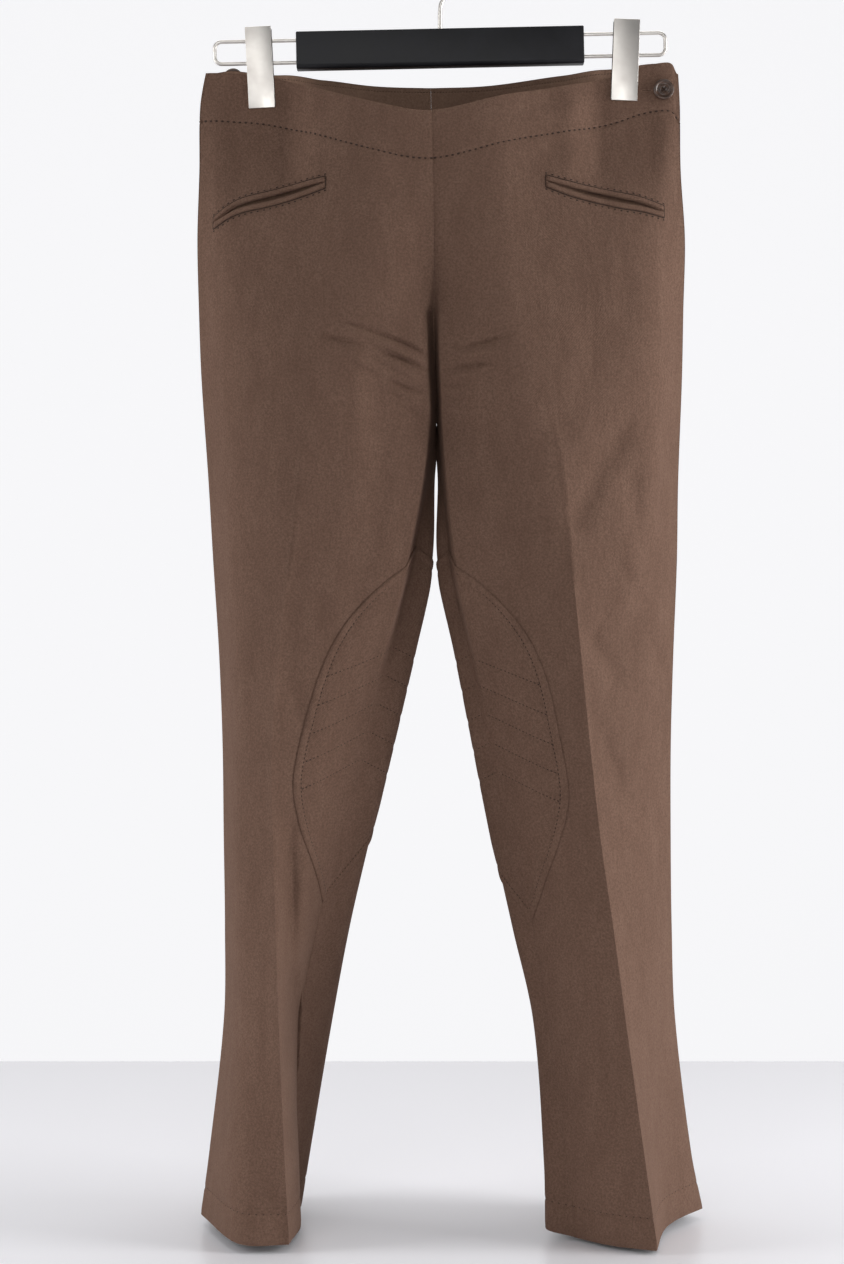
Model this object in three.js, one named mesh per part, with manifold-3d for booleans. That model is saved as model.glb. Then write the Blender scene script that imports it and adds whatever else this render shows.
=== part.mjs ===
// Wool trousers held at the waist by the two clips of a hanger. Sizes are in millimetres.
// X runs to the wearer's left, -Y is the front and +Z is up. The origin is on the inside of the hook, where a
// rail touches it. "right" and "left" are the wearer's own sides.
import * as THREE from "three";
import Module from "manifold-3d";

const wasm = await Module();
wasm.setup();

// Cloth and seams
const CLOTH = 1.3;
const FACING = 0.9;
const SEAM_GAP = 0.2;
const LAY_GAP = 0.3;
const PATCH = 1.2;
const JET = 1.1;

// Heights
const YOKE_Z = -200;
const CROTCH_Z = -420;
const HEM_Z = -1112;
const HEM_DROP = { right: 3, left: 6 };
const HEM_DROP_FROM = 2.2;

// The pressed creases grow sharp between these heights, the back ones less.
const CREASE_TOP = -380;
const CREASE_FULL = -620;
const CREASE_SHARP = { front: 1, back: 0.7 };

// Clips and the cloth between their jaws
const CLIP_X = { right: -156.6, left: 161.3 };
const CLIP_Z = { right: -111.5, left: -105 };
const CLIP_LEAN = { right: -3.1, left: 2.1 };
const CLIP_WIDTH = 22.6;
const CLIP_HEIGHT = 71;
const CLIP_HEAD = 9.1;
const JAW = 1.5;
const JAW_BEVEL = 0.6;
const HEAD_BEVEL = 2.2;
const PINCH_HALF = CLOTH + LAY_GAP + FACING / 2;
const HELD_WIDTH = { full: 20, none: 52 };
const HELD_HEIGHT = { full: -158, none: -250 };

// Hanger
const BAR_LENGTH = 250;
const BAR_HEIGHT = 32;
const BAR_DEPTH = 14;
const BAR_ROUND = 1.2;
const BAR_Z = -94.6;
const BAR_TILT = 1.2;
const WIRE_RADIUS = 1.7;
const WIRE_SPACING = 19.3;
const WIRE_BEND = 4;
const LOOP_END = 196;
const HOOK_WIRE = 1.9;
const HOOK_INSIDE = 20;
const HOOK_ARC = { from: -45, to: 200, step: 17.5 };
const STEM_HEIGHT = 14;
const STEM_BEND = { x: 1.5, height: 24 };

// Buttons
const BUTTON_RADIUS = 9;
const BUTTON_THICK = 3.2;
const BUTTON_BEVEL = 1.2;
const BUTTON_RIM = 2.2;
const BUTTON_DISH = { radius: 5, thick: 2, middle: 1.8 };
const BUTTON_HOLE = 0.8;
const BUTTON_HOLE_OFF = 1.5;
const FRONT_BUTTON = { x: 194.2, z: -131.2, off: 0.35 };
const BACK_BUTTON = { along: 3.05, z: -119.6, off: 1.1 };

// The seam from the front waist to the crotch and up to the back waist.
const CENTRE = table(["z", "x", "frontY", "backY"], [
  [-110, -8, -25, 60],
  [-200, -6, -32, 66],
  [-260, -5, -34, 70],
  [-330, -5, -26, 66],
  [-380, -4, -8, 48],
  [-405, -3, 4, 30],
  [CROTCH_Z, -3, 15, 15],
]);

// Plan of each leg's front: a point of the inner half, the crease, a point of the outer half and the side seam.
const FRONT_COLUMNS = ["z", "innerX", "innerY", "creaseX", "creaseY", "outerX", "outerY", "sideX", "sideY"];
const FRONT = {
  right: table(FRONT_COLUMNS, [
    [-110, -60, -22, -121, -8, -178, -6, -203, 0],
    [-145, -60, -28, -118, -11, -178, -8, -209, 1],
    [-200, -60, -35, -114, -21, -179, -13, -210, 3],
    [-260, -58, -43, -111, -33, -179, -21, -212, 5],
    [-320, -55, -49, -111, -45, -178, -27, -211, 8],
    [-380, -53, -50, -110, -55, -176, -30, -209, 10],
    [-470, -47, -46, -119, -58, -173, -31, -203, 12],
    [-540, -60, -44, -127, -58, -173, -32, -199, 13],
    [-620, -81, -40, -137, -57, -173, -32, -194, 14],
    [-700, -101, -37, -143, -56, -173, -31, -191, 15],
    [-780, -116, -36, -142, -56, -173, -30, -190, 15],
    [-860, -122, -38, -139, -62, -172, -32, -189, 16],
    [-940, -128, -38, -136, -70, -171, -35, -190, 18],
    [-1060, -122, -36, -130, -79, -173, -62, -203, 16],
    [HEM_Z, -120, -32, -127, -80, -171, -80, -210, 14],
  ]),
  left: table(FRONT_COLUMNS, [
    [-110, 43, -22, 104, -10, 182, -6, 207, 0],
    [-145, 43, -28, 98, -14, 178, -8, 209, 1],
    [-200, 42, -35, 90, -25, 176, -13, 210, 3],
    [-260, 42, -43, 87, -36, 177, -21, 214, 5],
    [-320, 42, -49, 86, -46, 176, -27, 213, 8],
    [-380, 43, -50, 89, -54, 175, -30, 212, 10],
    [-470, 51, -46, 105, -56, 173, -28, 209, 13],
    [-540, 58, -44, 111, -56, 172, -24, 208, 14],
    [-620, 72, -42, 119, -56, 172, -20, 205, 15],
    [-700, 86, -41, 127, -55, 174, -17, 203, 17],
    [-780, 99, -41, 136, -55, 177, -15, 203, 18],
    [-860, 112, -45, 147, -62, 181, -17, 204, 19],
    [-940, 123, -51, 157, -72, 185, -20, 207, 20],
    [-1060, 136, -65, 173, -84, 192, -22, 222, 28],
    [HEM_Z, 144, -72, 180, -90, 196, -18, 233, 35],
  ]),
};

// Plan of each leg's back: a point of the inner half, the crease and a point of the outer half.
const BACK_COLUMNS = ["z", "innerX", "innerY", "creaseX", "creaseY", "outerX", "outerY"];
const BACK = {
  right: table(BACK_COLUMNS, [
    [-110, -62, 52, -123, 14, -179, 8],
    [-200, -62, 70, -120, 58, -181, 32],
    [-260, -61, 80, -121, 72, -183, 42],
    [-330, -54, 86, -121, 80, -185, 46],
    [-380, -40, 80, -123, 82, -185, 48],
    [-420, -25, 60, -126, 82, -184, 48],
    [-470, -13.2, 42, -120, 80, -181, 50],
    [-540, -10.6, 26, -121, 78, -180, 50],
    [-620, -27, 24, -126, 76, -178, 50],
    [-780, -62, 25, -135, 74, -178, 50],
    [-860, -80, 38, -144, 84, -178, 54],
    [-940, -95, 54, -154, 95, -178, 58],
    [-1060, -116, 62, -162, 107, -188, 66],
    [HEM_Z, -125, 60, -162, 110, -195, 70],
  ]),
  left: table(BACK_COLUMNS, [
    [-110, 45, 52, 114, 14, 175, 8],
    [-200, 50, 70, 108, 58, 181, 32],
    [-260, 52, 80, 108, 72, 185, 42],
    [-330, 43, 86, 111, 80, 185, 46],
    [-380, 31, 80, 113, 82, 185, 48],
    [-420, 17, 60, 114, 82, 185, 48],
    [-470, 8.3, 40, 118, 80, 184, 50],
    [-540, 3.6, 20, 120, 76, 183, 50],
    [-620, 20, 12, 122, 72, 182, 50],
    [-780, 49, 10, 133, 66, 186, 52],
    [-860, 66, 8, 143, 72, 188, 56],
    [-940, 84, 6, 152, 82, 193, 62],
    [-1060, 91, -14, 155, 72, 202, 70],
    [HEM_Z, 91, -24, 155, 66, 206, 72],
  ]),
};

// The inner leg seam from the crotch to the hem.
const INSEAM = {
  right: table(["z", "x", "y"], [
    [CROTCH_Z, -3, 15],
    [-470, -10, 2],
    [-540, -24, -3],
    [-620, -45, -5],
    [-780, -88, -5],
    [-860, -107, 3],
    [-940, -122, 14],
    [-1060, -127, 28],
    [HEM_Z, -127, 32],
  ]),
  left: table(["z", "x", "y"], [
    [CROTCH_Z, -3, 15],
    [-470, 1, -4],
    [-540, 9, -10],
    [-620, 27, -12],
    [-780, 63, -12],
    [-860, 81, -14],
    [-940, 93, -20],
    [-1060, 109, -37],
    [HEM_Z, 115, -45],
  ]),
};

// Height of the waist edge across the body, sagging at the front between the clips.
const WAIST_FRONT = table(["x", "z"], [
  [-204, -116], [-157, -118.5], [-128, -124.4], [-58, -146.3], [-8, -153.9], [62, -138.3],
  [149, -119], [176, -109.8], [194, -107.2], [203, -109], [208, -117],
]);
const WAIST_BACK = table(["x", "z"], [
  [-204, -116], [-182, -114], [-145, -117.8], [-87, -115.2], [-8, -115.8], [44, -115],
  [150, -112.6], [176, -109], [194, -107.5], [203, -109], [208, -117],
]);

// Heights of the rows of each panel: shares of the part above the yoke line, then heights below it.
const UPPER_ROWS = [1, 0.82, 0.62, 0.42, 0.2, 0];
const LOWER_ROWS = [
  -225, -255, -290, -325, -355, -380, -402, CROTCH_Z, -440, -465, -495, -530, -570, -610, -650, -690,
  -730, -770, -810, -850, -890, -930, -970, -1010, -1045, -1080, HEM_Z,
];
const COLUMNS_PER_ARC = [4, 3, 5, 4];

// Rows and columns of the panels that lie near a piece laid on them.
const PATCH_ROWS = [15, 27];
const PATCH_COLUMNS = 9;
const POCKET_ROWS = [2, 9];
const POCKET_COLUMNS = [5, 16];
const FACING_ROWS = [0, 3];
const FACING_COLUMNS = [0, 14];

// Reach of a cutting sheet out of and into the cloth.
const CUT_OUT = 6;
const CUT_IN = -5;

// The folds fade out over these lengths near a panel's edges.
const SIDE_FADE = 0.5;
const INNER_FADE = 0.6;
const CROTCH_FADE = 60;

// Largest folds of the front, from one end to the other: half width and depth, a depth below zero is a ridge.
const FOLDS = table(["x0", "z0", "x1", "z1", "half", "depth"], [
  [-11, -330, -9, -425, 7, 9],
  [147, -437, 115, -507, 13, 5],
  [163, -475, 180, -540, 10, 4],
  [185, -450, 165, -560, 12, -3],
  [128, -610, 150, -640, 9, 3],
  [135, -690, 152, -740, 10, 3],
]);

// Half width of a knee patch, measured round the leg from the inner leg seam, down its length.
const PATCH_HALF = table(["share", "half"], [
  [0, 0], [0.036, 19], [0.092, 41], [0.154, 56], [0.223, 65], [0.307, 69], [0.466, 69], [0.63, 67],
  [0.71, 60], [0.8, 45], [0.88, 27.5], [0.95, 12], [1, 0],
]);
const PATCH_SPAN = { right: [-527, -838], left: [-531, -852] };

// Line of each pocket slot, from its outer end to its inner end.
const POCKET = {
  right: table(["x", "z"], [[-196, -248], [-174.5, -235.7], [-144.6, -228.4], [-117, -220.8], [-99, -216]]),
  left: table(["x", "z"], [[193.3, -238.5], [172, -233], [152, -229.7], [114, -221.8], [91, -215]]),
};
const JET_WIDTH = 4.6;
const SLOT_HALF = { end: 0.4, middle: 1.5 };
const SLOT_SHORTER = 1.5;
const POCKET_FACING_REACH = 11;
const POCKET_FACING_SHORTER = 3;
const POCKET_ROWS_ALONG = 10;

// A table with named columns: each name gives its list of values.
function table(names, rows) {
  const made = {};
  names.forEach((name, i) => {
    made[name] = rows.map((row) => row[i]);
  });
  return made;
}

// A smooth value of one column at a place along another, held level beyond both ends.
function read(rows, key, name, at) {
  const keys = rows[key];
  const values = rows[name];
  const last = keys.length - 1;
  const rising = keys[last] > keys[0] ? 1 : -1;
  if ((at - keys[0]) * rising <= 0) return values[0];
  if ((at - keys[last]) * rising >= 0) return values[last];
  let i = 0;
  while ((at - keys[i + 1]) * rising > 0) i += 1;
  const slope = (a, b) => (values[b] - values[a]) / (keys[b] - keys[a]);
  const step = keys[i + 1] - keys[i];
  const startSlope = slope(Math.max(i - 1, 0), i + 1);
  const endSlope = slope(i, Math.min(i + 2, last));
  const t = (at - keys[i]) / step;
  return hermite(values[i], values[i + 1], startSlope * step, endSlope * step, t);
}

// Cubic between two values with a given slope at each.
function hermite(a, b, slopeA, slopeB, t) {
  const s = t * t;
  const c = s * t;
  return a * (2 * c - 3 * s + 1) + slopeA * (c - 2 * s + t) + b * (3 * s - 2 * c) + slopeB * (c - s);
}

function smooth(low, high, value) {
  const t = Math.min(1, Math.max(0, (value - low) / (high - low)));
  return t * t * (3 - 2 * t);
}

// The five plan points of one panel at a height, from its inner edge to the side seam.
function planPoints(side, face, z) {
  const front = FRONT[side];
  const body = face === "front" ? front : BACK[side];
  const at = (rows, name) => read(rows, "z", name, z);
  let inner;
  if (z >= CROTCH_Z) inner = [at(CENTRE, "x"), at(CENTRE, face + "Y")];
  else inner = [at(INSEAM[side], "x"), at(INSEAM[side], "y")];
  return [
    inner,
    [at(body, "innerX"), at(body, "innerY")],
    [at(body, "creaseX"), at(body, "creaseY")],
    [at(body, "outerX"), at(body, "outerY")],
    [at(front, "sideX"), at(front, "sideY")],
  ];
}

// Point at a place (0 inner edge to 4 side seam) along a panel's plan. The crease is sharp below the thigh.
function planCurve(points, along, sharp) {
  const i = Math.min(3, Math.floor(along));
  const t = along - i;
  return [0, 1].map((k) => {
    const value = (j) => points[j][k];
    const chord = value(i + 1) - value(i);
    let start = i > 0 ? (value(i + 1) - value(i - 1)) / 2 : chord;
    let end = i < 3 ? (value(i + 2) - value(i)) / 2 : chord;
    if (i === 2) start += (chord - start) * sharp;
    if (i === 1) end += (chord - end) * sharp;
    return hermite(value(i), value(i + 1), start, end, t);
  });
}

// How far the folds of the front push the cloth back at a place.
function foldDepth(x, z) {
  let depth = 0;
  FOLDS.x0.forEach((x0, i) => {
    const ax = FOLDS.x1[i] - x0;
    const az = FOLDS.z1[i] - FOLDS.z0[i];
    const share = ((x - x0) * ax + (z - FOLDS.z0[i]) * az) / (ax * ax + az * az);
    const near = Math.min(1, Math.max(0, share));
    const off = Math.hypot(x - x0 - ax * near, z - FOLDS.z0[i] - az * near) / FOLDS.half[i];
    depth += FOLDS.depth[i] * Math.exp(-off * off);
  });
  return depth;
}

// A point of the cloth's outer surface: the plan curve, its folds, and the pinch of the clips.
function surface(side, face, along, z) {
  const sharp = smooth(CREASE_TOP, CREASE_FULL, z) * CREASE_SHARP[face];
  const [x, plain] = planCurve(planPoints(side, face, z), along, sharp);
  let y = plain;
  const free = Math.max(smooth(0, INNER_FADE, along), smooth(CROTCH_Z, CROTCH_Z + CROTCH_FADE, z));
  if (face === "front") y += foldDepth(x, z) * smooth(0, SIDE_FADE, 4 - along) * free;
  const near = 1 - smooth(HELD_WIDTH.full, HELD_WIDTH.none, Math.abs(x - CLIP_X[side]));
  const held = near * smooth(HELD_HEIGHT.none, HELD_HEIGHT.full, z);
  const jaw = face === "front" ? -PINCH_HALF : PINCH_HALF;
  return new THREE.Vector3(x, y + (jaw - y) * held, z);
}

// Height of the waist edge above a column.
function waistHeight(side, face, along) {
  const x = planCurve(planPoints(side, face, -150), along, 0)[0];
  return read(face === "front" ? WAIST_FRONT : WAIST_BACK, "x", "z", x);
}

// How much lower the hem hangs at the front crease than at the side.
function hemDrop(side, face, along) {
  if (face === "back") return HEM_DROP[side] * Math.max(0, 1 - along);
  return HEM_DROP[side] * (1 - smooth(HEM_DROP_FROM, 4, along));
}

// Outward direction of the surface, from points a little to each side.
function outward(side, face, along, z) {
  const step = 0.04;
  const a = surface(side, face, Math.max(0, along - step), z);
  const b = surface(side, face, Math.min(4, along + step), z);
  const c = surface(side, face, along, z + 2);
  const d = surface(side, face, along, z - 2);
  const normal = b.sub(a).cross(c.sub(d)).normalize();
  const turned = (side === "left") === (face === "front");
  return turned ? normal : normal.negate();
}

// Rows and columns of points and outward directions of one panel.
function panelGrid(side, face) {
  const columns = [0];
  COLUMNS_PER_ARC.forEach((count, arc) => {
    for (let j = 1; j <= count; j += 1) columns.push(arc + j / count);
  });
  const heights = UPPER_ROWS.map((share) => (along) =>
    YOKE_Z + share * (waistHeight(side, face, along) - YOKE_Z));
  LOWER_ROWS.forEach((z) => heights.push((along) => (z === HEM_Z ? z - hemDrop(side, face, along) : z)));
  const points = heights.map((height) => columns.map((along) => surface(side, face, along, height(along))));
  const normals = heights.map((height) => columns.map((along) => outward(side, face, along, height(along))));
  return { points, normals };
}

// Gives the edge points of panels that meet the same direction, so that their edges lie side by side.
function shareEdges(grids) {
  const last = grids.front_right.points[0].length - 1;
  const crotch = UPPER_ROWS.length + LOWER_ROWS.indexOf(CROTCH_Z);
  const meet = (row, column, names) => {
    const mean = new THREE.Vector3();
    names.forEach((name) => mean.add(grids[name].normals[row][column]));
    mean.normalize();
    names.forEach((name) => grids[name].normals[row][column].copy(mean));
  };
  grids.front_right.points.forEach((_, row) => {
    meet(row, last, ["front_right", "back_right"]);
    meet(row, last, ["front_left", "back_left"]);
    if (row === crotch) {
      meet(row, 0, ["front_right", "back_right", "front_left", "back_left"]);
    } else if (row < crotch) {
      meet(row, 0, ["front_right", "front_left"]);
      meet(row, 0, ["back_right", "back_left"]);
    } else {
      meet(row, 0, ["front_right", "back_right"]);
      meet(row, 0, ["front_left", "back_left"]);
    }
  });
}

// Draws both long edges of a grid in by the seam gap.
function drawIn(grid) {
  grid.points.forEach((row) => {
    const last = row.length - 1;
    const first = row[1].clone().sub(row[0]).setLength(SEAM_GAP);
    const end = row[last - 1].clone().sub(row[last]).setLength(SEAM_GAP);
    row[0] = row[0].clone().add(first);
    row[last] = row[last].clone().add(end);
  });
}

// Closed sheet between two distances from a grid of points, measured along its directions.
function sheet(grid, outer, inner) {
  const rows = grid.points.length;
  const columns = grid.points[0].length;
  const vertices = [];
  [outer, inner].forEach((distance) => {
    grid.points.forEach((row, i) => row.forEach((point, j) => {
      const moved = point.clone().addScaledVector(grid.normals[i][j], distance);
      vertices.push(moved.x, moved.y, moved.z);
    }));
  });
  const faces = [];
  const back = rows * columns;
  const quad = (a, b, c, d) => faces.push(a, b, c, a, c, d);
  const turnedQuad = (a, b, c, d) => faces.push(a, b, d, b, c, d);
  for (let i = 0; i < rows - 1; i += 1) {
    for (let j = 0; j < columns - 1; j += 1) {
      const a = i * columns + j;
      const split = j < (grid.turned || 0) ? turnedQuad : quad;
      split(a, a + columns, a + columns + 1, a + 1);
      split(back + a, back + a + 1, back + a + columns + 1, back + a + columns);
    }
    const left = i * columns;
    const right = left + columns - 1;
    quad(left, back + left, back + left + columns, left + columns);
    quad(right, right + columns, back + right + columns, back + right);
  }
  for (let j = 0; j < columns - 1; j += 1) {
    const bottom = (rows - 1) * columns + j;
    quad(j, j + 1, back + j + 1, back + j);
    quad(bottom, back + bottom, back + bottom + 1, bottom + 1);
  }
  return solid(vertices, faces);
}

// A manifold from vertices and faces, turned to face out and with touching vertices joined.
function solid(vertices, faces) {
  const build = (tris) => {
    const mesh = new wasm.Mesh({
      numProp: 3,
      vertProperties: new Float32Array(vertices),
      triVerts: new Uint32Array(tris),
    });
    mesh.merge();
    return new wasm.Manifold(mesh);
  };
  const made = build(faces);
  if (made.volume() > 0) return made;
  const turned = [];
  for (let i = 0; i < faces.length; i += 3) turned.push(faces[i], faces[i + 2], faces[i + 1]);
  return build(turned);
}

// A three.js geometry as a manifold.
function solidOf(geometry) {
  const flat = geometry.index ? geometry.toNonIndexed() : geometry;
  const position = flat.getAttribute("position");
  const faces = Array.from({ length: position.count }, (_, i) => i);
  return solid(Array.from(position.array), faces);
}

function mesh(name, made, finish) {
  const data = made.getMesh();
  const geometry = new THREE.BufferGeometry();
  geometry.setAttribute("position", new THREE.BufferAttribute(new Float32Array(data.vertProperties), 3));
  geometry.setIndex(new THREE.BufferAttribute(new Uint32Array(data.triVerts), 1));
  geometry.computeVertexNormals();
  const part = new THREE.Mesh(geometry, new THREE.MeshStandardMaterial(finish));
  part.name = name;
  return part;
}

// Place along a front panel's plan where it reaches an x.
function alongAtX(side, x, z) {
  let low = 0.3;
  let high = 4;
  const outside = side === "right" ? -1 : 1;
  for (let i = 0; i < 30; i += 1) {
    const middle = (low + high) / 2;
    if (surface(side, "front", middle, z).x * outside < x * outside) low = middle;
    else high = middle;
  }
  return (low + high) / 2;
}

// Place along a panel's plan that is a distance round the leg from its inner edge.
function alongAtDistance(side, face, distance, z) {
  const parts = 80;
  let travelled = 0;
  let before = surface(side, face, 0, z);
  for (let i = 1; i <= parts; i += 1) {
    const here = surface(side, face, (4 * i) / parts, z);
    const gone = here.distanceTo(before);
    if (travelled + gone >= distance) return (4 * (i - 1 + (distance - travelled) / gone)) / parts;
    travelled += gone;
    before = here;
  }
  return 4;
}

// A band on a front panel that follows the pocket slot, between two heights above the slot line.
function pocketBand(side, lowAt, highAt, shorter) {
  const points = [];
  const normals = [];
  const line = POCKET[side];
  const shares = line.x.map((_, i) => i / (line.x.length - 1));
  const path = { share: shares, x: line.x, z: line.z };
  for (let i = 0; i <= POCKET_ROWS_ALONG; i += 1) {
    const share = i / POCKET_ROWS_ALONG;
    const drawn = (share - 0.5) * 2 * shorter;
    const x = read(path, "share", "x", share) - drawn * Math.sign(line.x.at(-1) - line.x[0]);
    const z = read(path, "share", "z", share);
    const open = SLOT_HALF.end + (SLOT_HALF.middle - SLOT_HALF.end) * Math.sin(Math.PI * share);
    const rowPoints = [];
    const rowNormals = [];
    for (const k of [0, 0.5, 1]) {
      const height = z + lowAt(open) + (highAt(open) - lowAt(open)) * k;
      const along = alongAtX(side, x, height);
      rowPoints.push(surface(side, "front", along, height));
      rowNormals.push(outward(side, "front", along, height));
    }
    points.push(rowPoints);
    normals.push(rowNormals);
  }
  return { points, normals };
}

// A leaf-shaped grid centred on the inner leg seam.
function patchBand(side) {
  const across = 10;
  const down = 20;
  const [top, bottom] = PATCH_SPAN[side];
  const points = [];
  const normals = [];
  for (let i = 0; i <= down; i += 1) {
    const share = 0.004 + (0.992 * i) / down;
    const z = top + (bottom - top) * share;
    const half = read(PATCH_HALF, "share", "half", share);
    const rowPoints = [];
    const rowNormals = [];
    for (let j = 0; j <= across; j += 1) {
      const distance = half * (1 - (2 * j) / across);
      const face = distance >= 0 ? "front" : "back";
      const along = alongAtDistance(side, face, Math.abs(distance), z);
      rowPoints.push(surface(side, face, along, z));
      const normal = outward(side, face, along, z);
      if (j === across / 2) normal.add(outward(side, "back", 0, z)).normalize();
      rowNormals.push(normal);
    }
    points.push(rowPoints);
    normals.push(rowNormals);
  }
  return { points, normals };
}

// The rows and columns of a grid that lie near a piece laid on it.
function part(grid, rows, columns) {
  const cut = (lists) => lists.slice(rows[0], rows[1] + 1).map((row) => row.slice(columns[0], columns[1] + 1));
  return { points: cut(grid.points), normals: cut(grid.normals) };
}

// Front and back panel of one leg side by side, joined at the inner leg seam.
function roundTheLeg(grids, side, rows, columns) {
  const front = part(grids["front_" + side], rows, [0, columns]);
  const back = part(grids["back_" + side], rows, [0, columns]);
  const join = (key) => front[key].map((row, i) => [...row].reverse().concat(back[key][i]));
  return { points: join("points"), normals: join("normals"), turned: columns };
}

function kneePatch(grids, side) {
  const layer = sheet(roundTheLeg(grids, side, PATCH_ROWS, PATCH_COLUMNS), LAY_GAP + PATCH, LAY_GAP);
  return layer.intersect(sheet(patchBand(side), CUT_OUT, CUT_IN));
}

function pocketJet(grids, side, above) {
  const cloth = part(grids["front_" + side], POCKET_ROWS, POCKET_COLUMNS);
  const layer = sheet(cloth, LAY_GAP + JET, LAY_GAP);
  const near = (open) => (above ? open : -open);
  const far = (open) => (above ? open + JET_WIDTH : -open - JET_WIDTH);
  return layer.intersect(sheet(pocketBand(side, near, far, 0), CUT_OUT, CUT_IN));
}

// The strip of cloth that shows through the slot.
function pocketFacing(grids, side) {
  const cloth = part(grids["front_" + side], POCKET_ROWS, POCKET_COLUMNS);
  const layer = sheet(cloth, -CLOTH - LAY_GAP, -CLOTH - LAY_GAP - FACING);
  const low = () => -POCKET_FACING_REACH;
  const high = () => POCKET_FACING_REACH;
  return layer.intersect(sheet(pocketBand(side, low, high, POCKET_FACING_SHORTER), CUT_OUT, CUT_IN - 1));
}

function frontPanel(grids, side) {
  const slot = sheet(pocketBand(side, (open) => -open, (open) => open, SLOT_SHORTER), CUT_OUT, CUT_IN);
  return sheet(grids["front_" + side], 0, -CLOTH).subtract(slot);
}

function backFacing(grids, side) {
  const band = part(grids["back_" + side], FACING_ROWS, FACING_COLUMNS);
  return sheet(band, -CLOTH - LAY_GAP, -CLOTH - LAY_GAP - FACING);
}

// A round button with a raised rim and four holes, its underside on the origin and facing +Z.
function button() {
  const profile = [
    [0, 0], [BUTTON_RADIUS - BUTTON_BEVEL, 0], [BUTTON_RADIUS, BUTTON_BEVEL], [BUTTON_RADIUS, BUTTON_THICK - 0.9],
    [BUTTON_RADIUS - 1, BUTTON_THICK], [BUTTON_RADIUS - BUTTON_RIM, BUTTON_THICK],
    [BUTTON_DISH.radius, BUTTON_DISH.thick], [0, BUTTON_DISH.middle],
  ].map(([r, y]) => new THREE.Vector2(r, y));
  let disc = solidOf(new THREE.LatheGeometry(profile, 20)).rotate([90, 0, 0]);
  const hole = wasm.Manifold.cylinder(2 * BUTTON_THICK, BUTTON_HOLE, BUTTON_HOLE, 6).translate([0, 0, -1]);
  [[1, 1], [-1, 1], [-1, -1], [1, -1]].forEach(([x, y]) => {
    disc = disc.subtract(hole.translate([x * BUTTON_HOLE_OFF, y * BUTTON_HOLE_OFF, 0]));
  });
  return disc;
}

// A button laid on a panel, at a distance off it.
function layButton(side, face, along, z, off) {
  const normal = outward(side, face, along, z);
  const turn = new THREE.Quaternion().setFromUnitVectors(new THREE.Vector3(0, 0, 1), normal);
  const place = surface(side, face, along, z).addScaledVector(normal, off);
  const matrix = new THREE.Matrix4().compose(place, turn, new THREE.Vector3(1, 1, 1));
  return button().transform(matrix.elements);
}

// One clip: two flat jaws hanging from a solid head that sits on the upper wire.
function clip(side) {
  const inside = PINCH_HALF + LAY_GAP;
  const head = CLIP_HEIGHT / 2 - CLIP_HEAD;
  const outside = inside + JAW;
  const half = CLIP_HEIGHT / 2;
  const shape = new THREE.Shape([
    [JAW_BEVEL - outside, -half], [-inside, -half], [-inside, head], [inside, head], [inside, -half],
    [outside - JAW_BEVEL, -half], [outside, JAW_BEVEL - half], [outside, half - HEAD_BEVEL],
    [outside - HEAD_BEVEL, half], [HEAD_BEVEL - outside, half], [-outside, half - HEAD_BEVEL],
    [-outside, JAW_BEVEL - half],
  ].map(([y, z]) => new THREE.Vector2(y, z)));
  const geometry = new THREE.ExtrudeGeometry(shape, { depth: CLIP_WIDTH, bevelEnabled: false });
  return solidOf(geometry)
    .translate([0, 0, -CLIP_WIDTH / 2])
    .rotate([90, 0, 90])
    .rotate([0, CLIP_LEAN[side], 0])
    .translate([CLIP_X[side], 0, CLIP_Z[side]]);
}

function bar() {
  const x = BAR_LENGTH / 2 - BAR_ROUND;
  const z = BAR_HEIGHT / 2 - BAR_ROUND;
  const shape = new THREE.Shape([[-x, -z], [x, -z], [x, z], [-x, z]].map(([a, b]) => new THREE.Vector2(a, b)));
  const geometry = new THREE.ExtrudeGeometry(shape, {
    depth: BAR_DEPTH - 2 * BAR_ROUND,
    bevelEnabled: true,
    bevelThickness: BAR_ROUND,
    bevelSize: BAR_ROUND,
    bevelSegments: 3,
  });
  return solidOf(geometry)
    .translate([0, 0, -BAR_DEPTH / 2 + BAR_ROUND])
    .rotate([90, 0, 0])
    .rotate([0, -BAR_TILT, 0])
    .translate([0, 0, BAR_Z]);
}

// A round wire along a path of straight and bent lengths.
function wire(path, radius, steps, sides) {
  const circle = new THREE.Shape();
  circle.absarc(0, 0, radius, 0, 2 * Math.PI, false);
  const geometry = new THREE.ExtrudeGeometry(circle, {
    extrudePath: path, steps, curveSegments: sides, bevelEnabled: false,
  });
  return solidOf(geometry);
}

// The wire loop at one end of the bar, which carries a clip.
function wireLoop(side) {
  const out = side === "right" ? -1 : 1;
  const start = BAR_LENGTH / 2 + LAY_GAP;
  const half = WIRE_SPACING / 2;
  const at = (x, z) => new THREE.Vector3(x * out, 0, z);
  const corner = (x, z, dx, dz) => new THREE.QuadraticBezierCurve3(
    at(x - dx, z - (dx ? 0 : dz)), at(x, z), at(x, z + dz));
  const end = LOOP_END + LAY_GAP;
  const path = new THREE.CurvePath();
  path.add(new THREE.LineCurve3(at(start, half), at(end - WIRE_BEND, half)));
  path.add(corner(end, half, WIRE_BEND, -WIRE_BEND));
  path.add(new THREE.LineCurve3(at(end, half - WIRE_BEND), at(end, WIRE_BEND - half)));
  path.add(new THREE.QuadraticBezierCurve3(at(end, WIRE_BEND - half), at(end, -half), at(end - WIRE_BEND, -half)));
  path.add(new THREE.LineCurve3(at(end - WIRE_BEND, -half), at(start, -half)));
  return wire(path, WIRE_RADIUS, 32, 5).rotate([0, -BAR_TILT, 0]).translate([0, 0, BAR_Z]);
}

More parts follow.
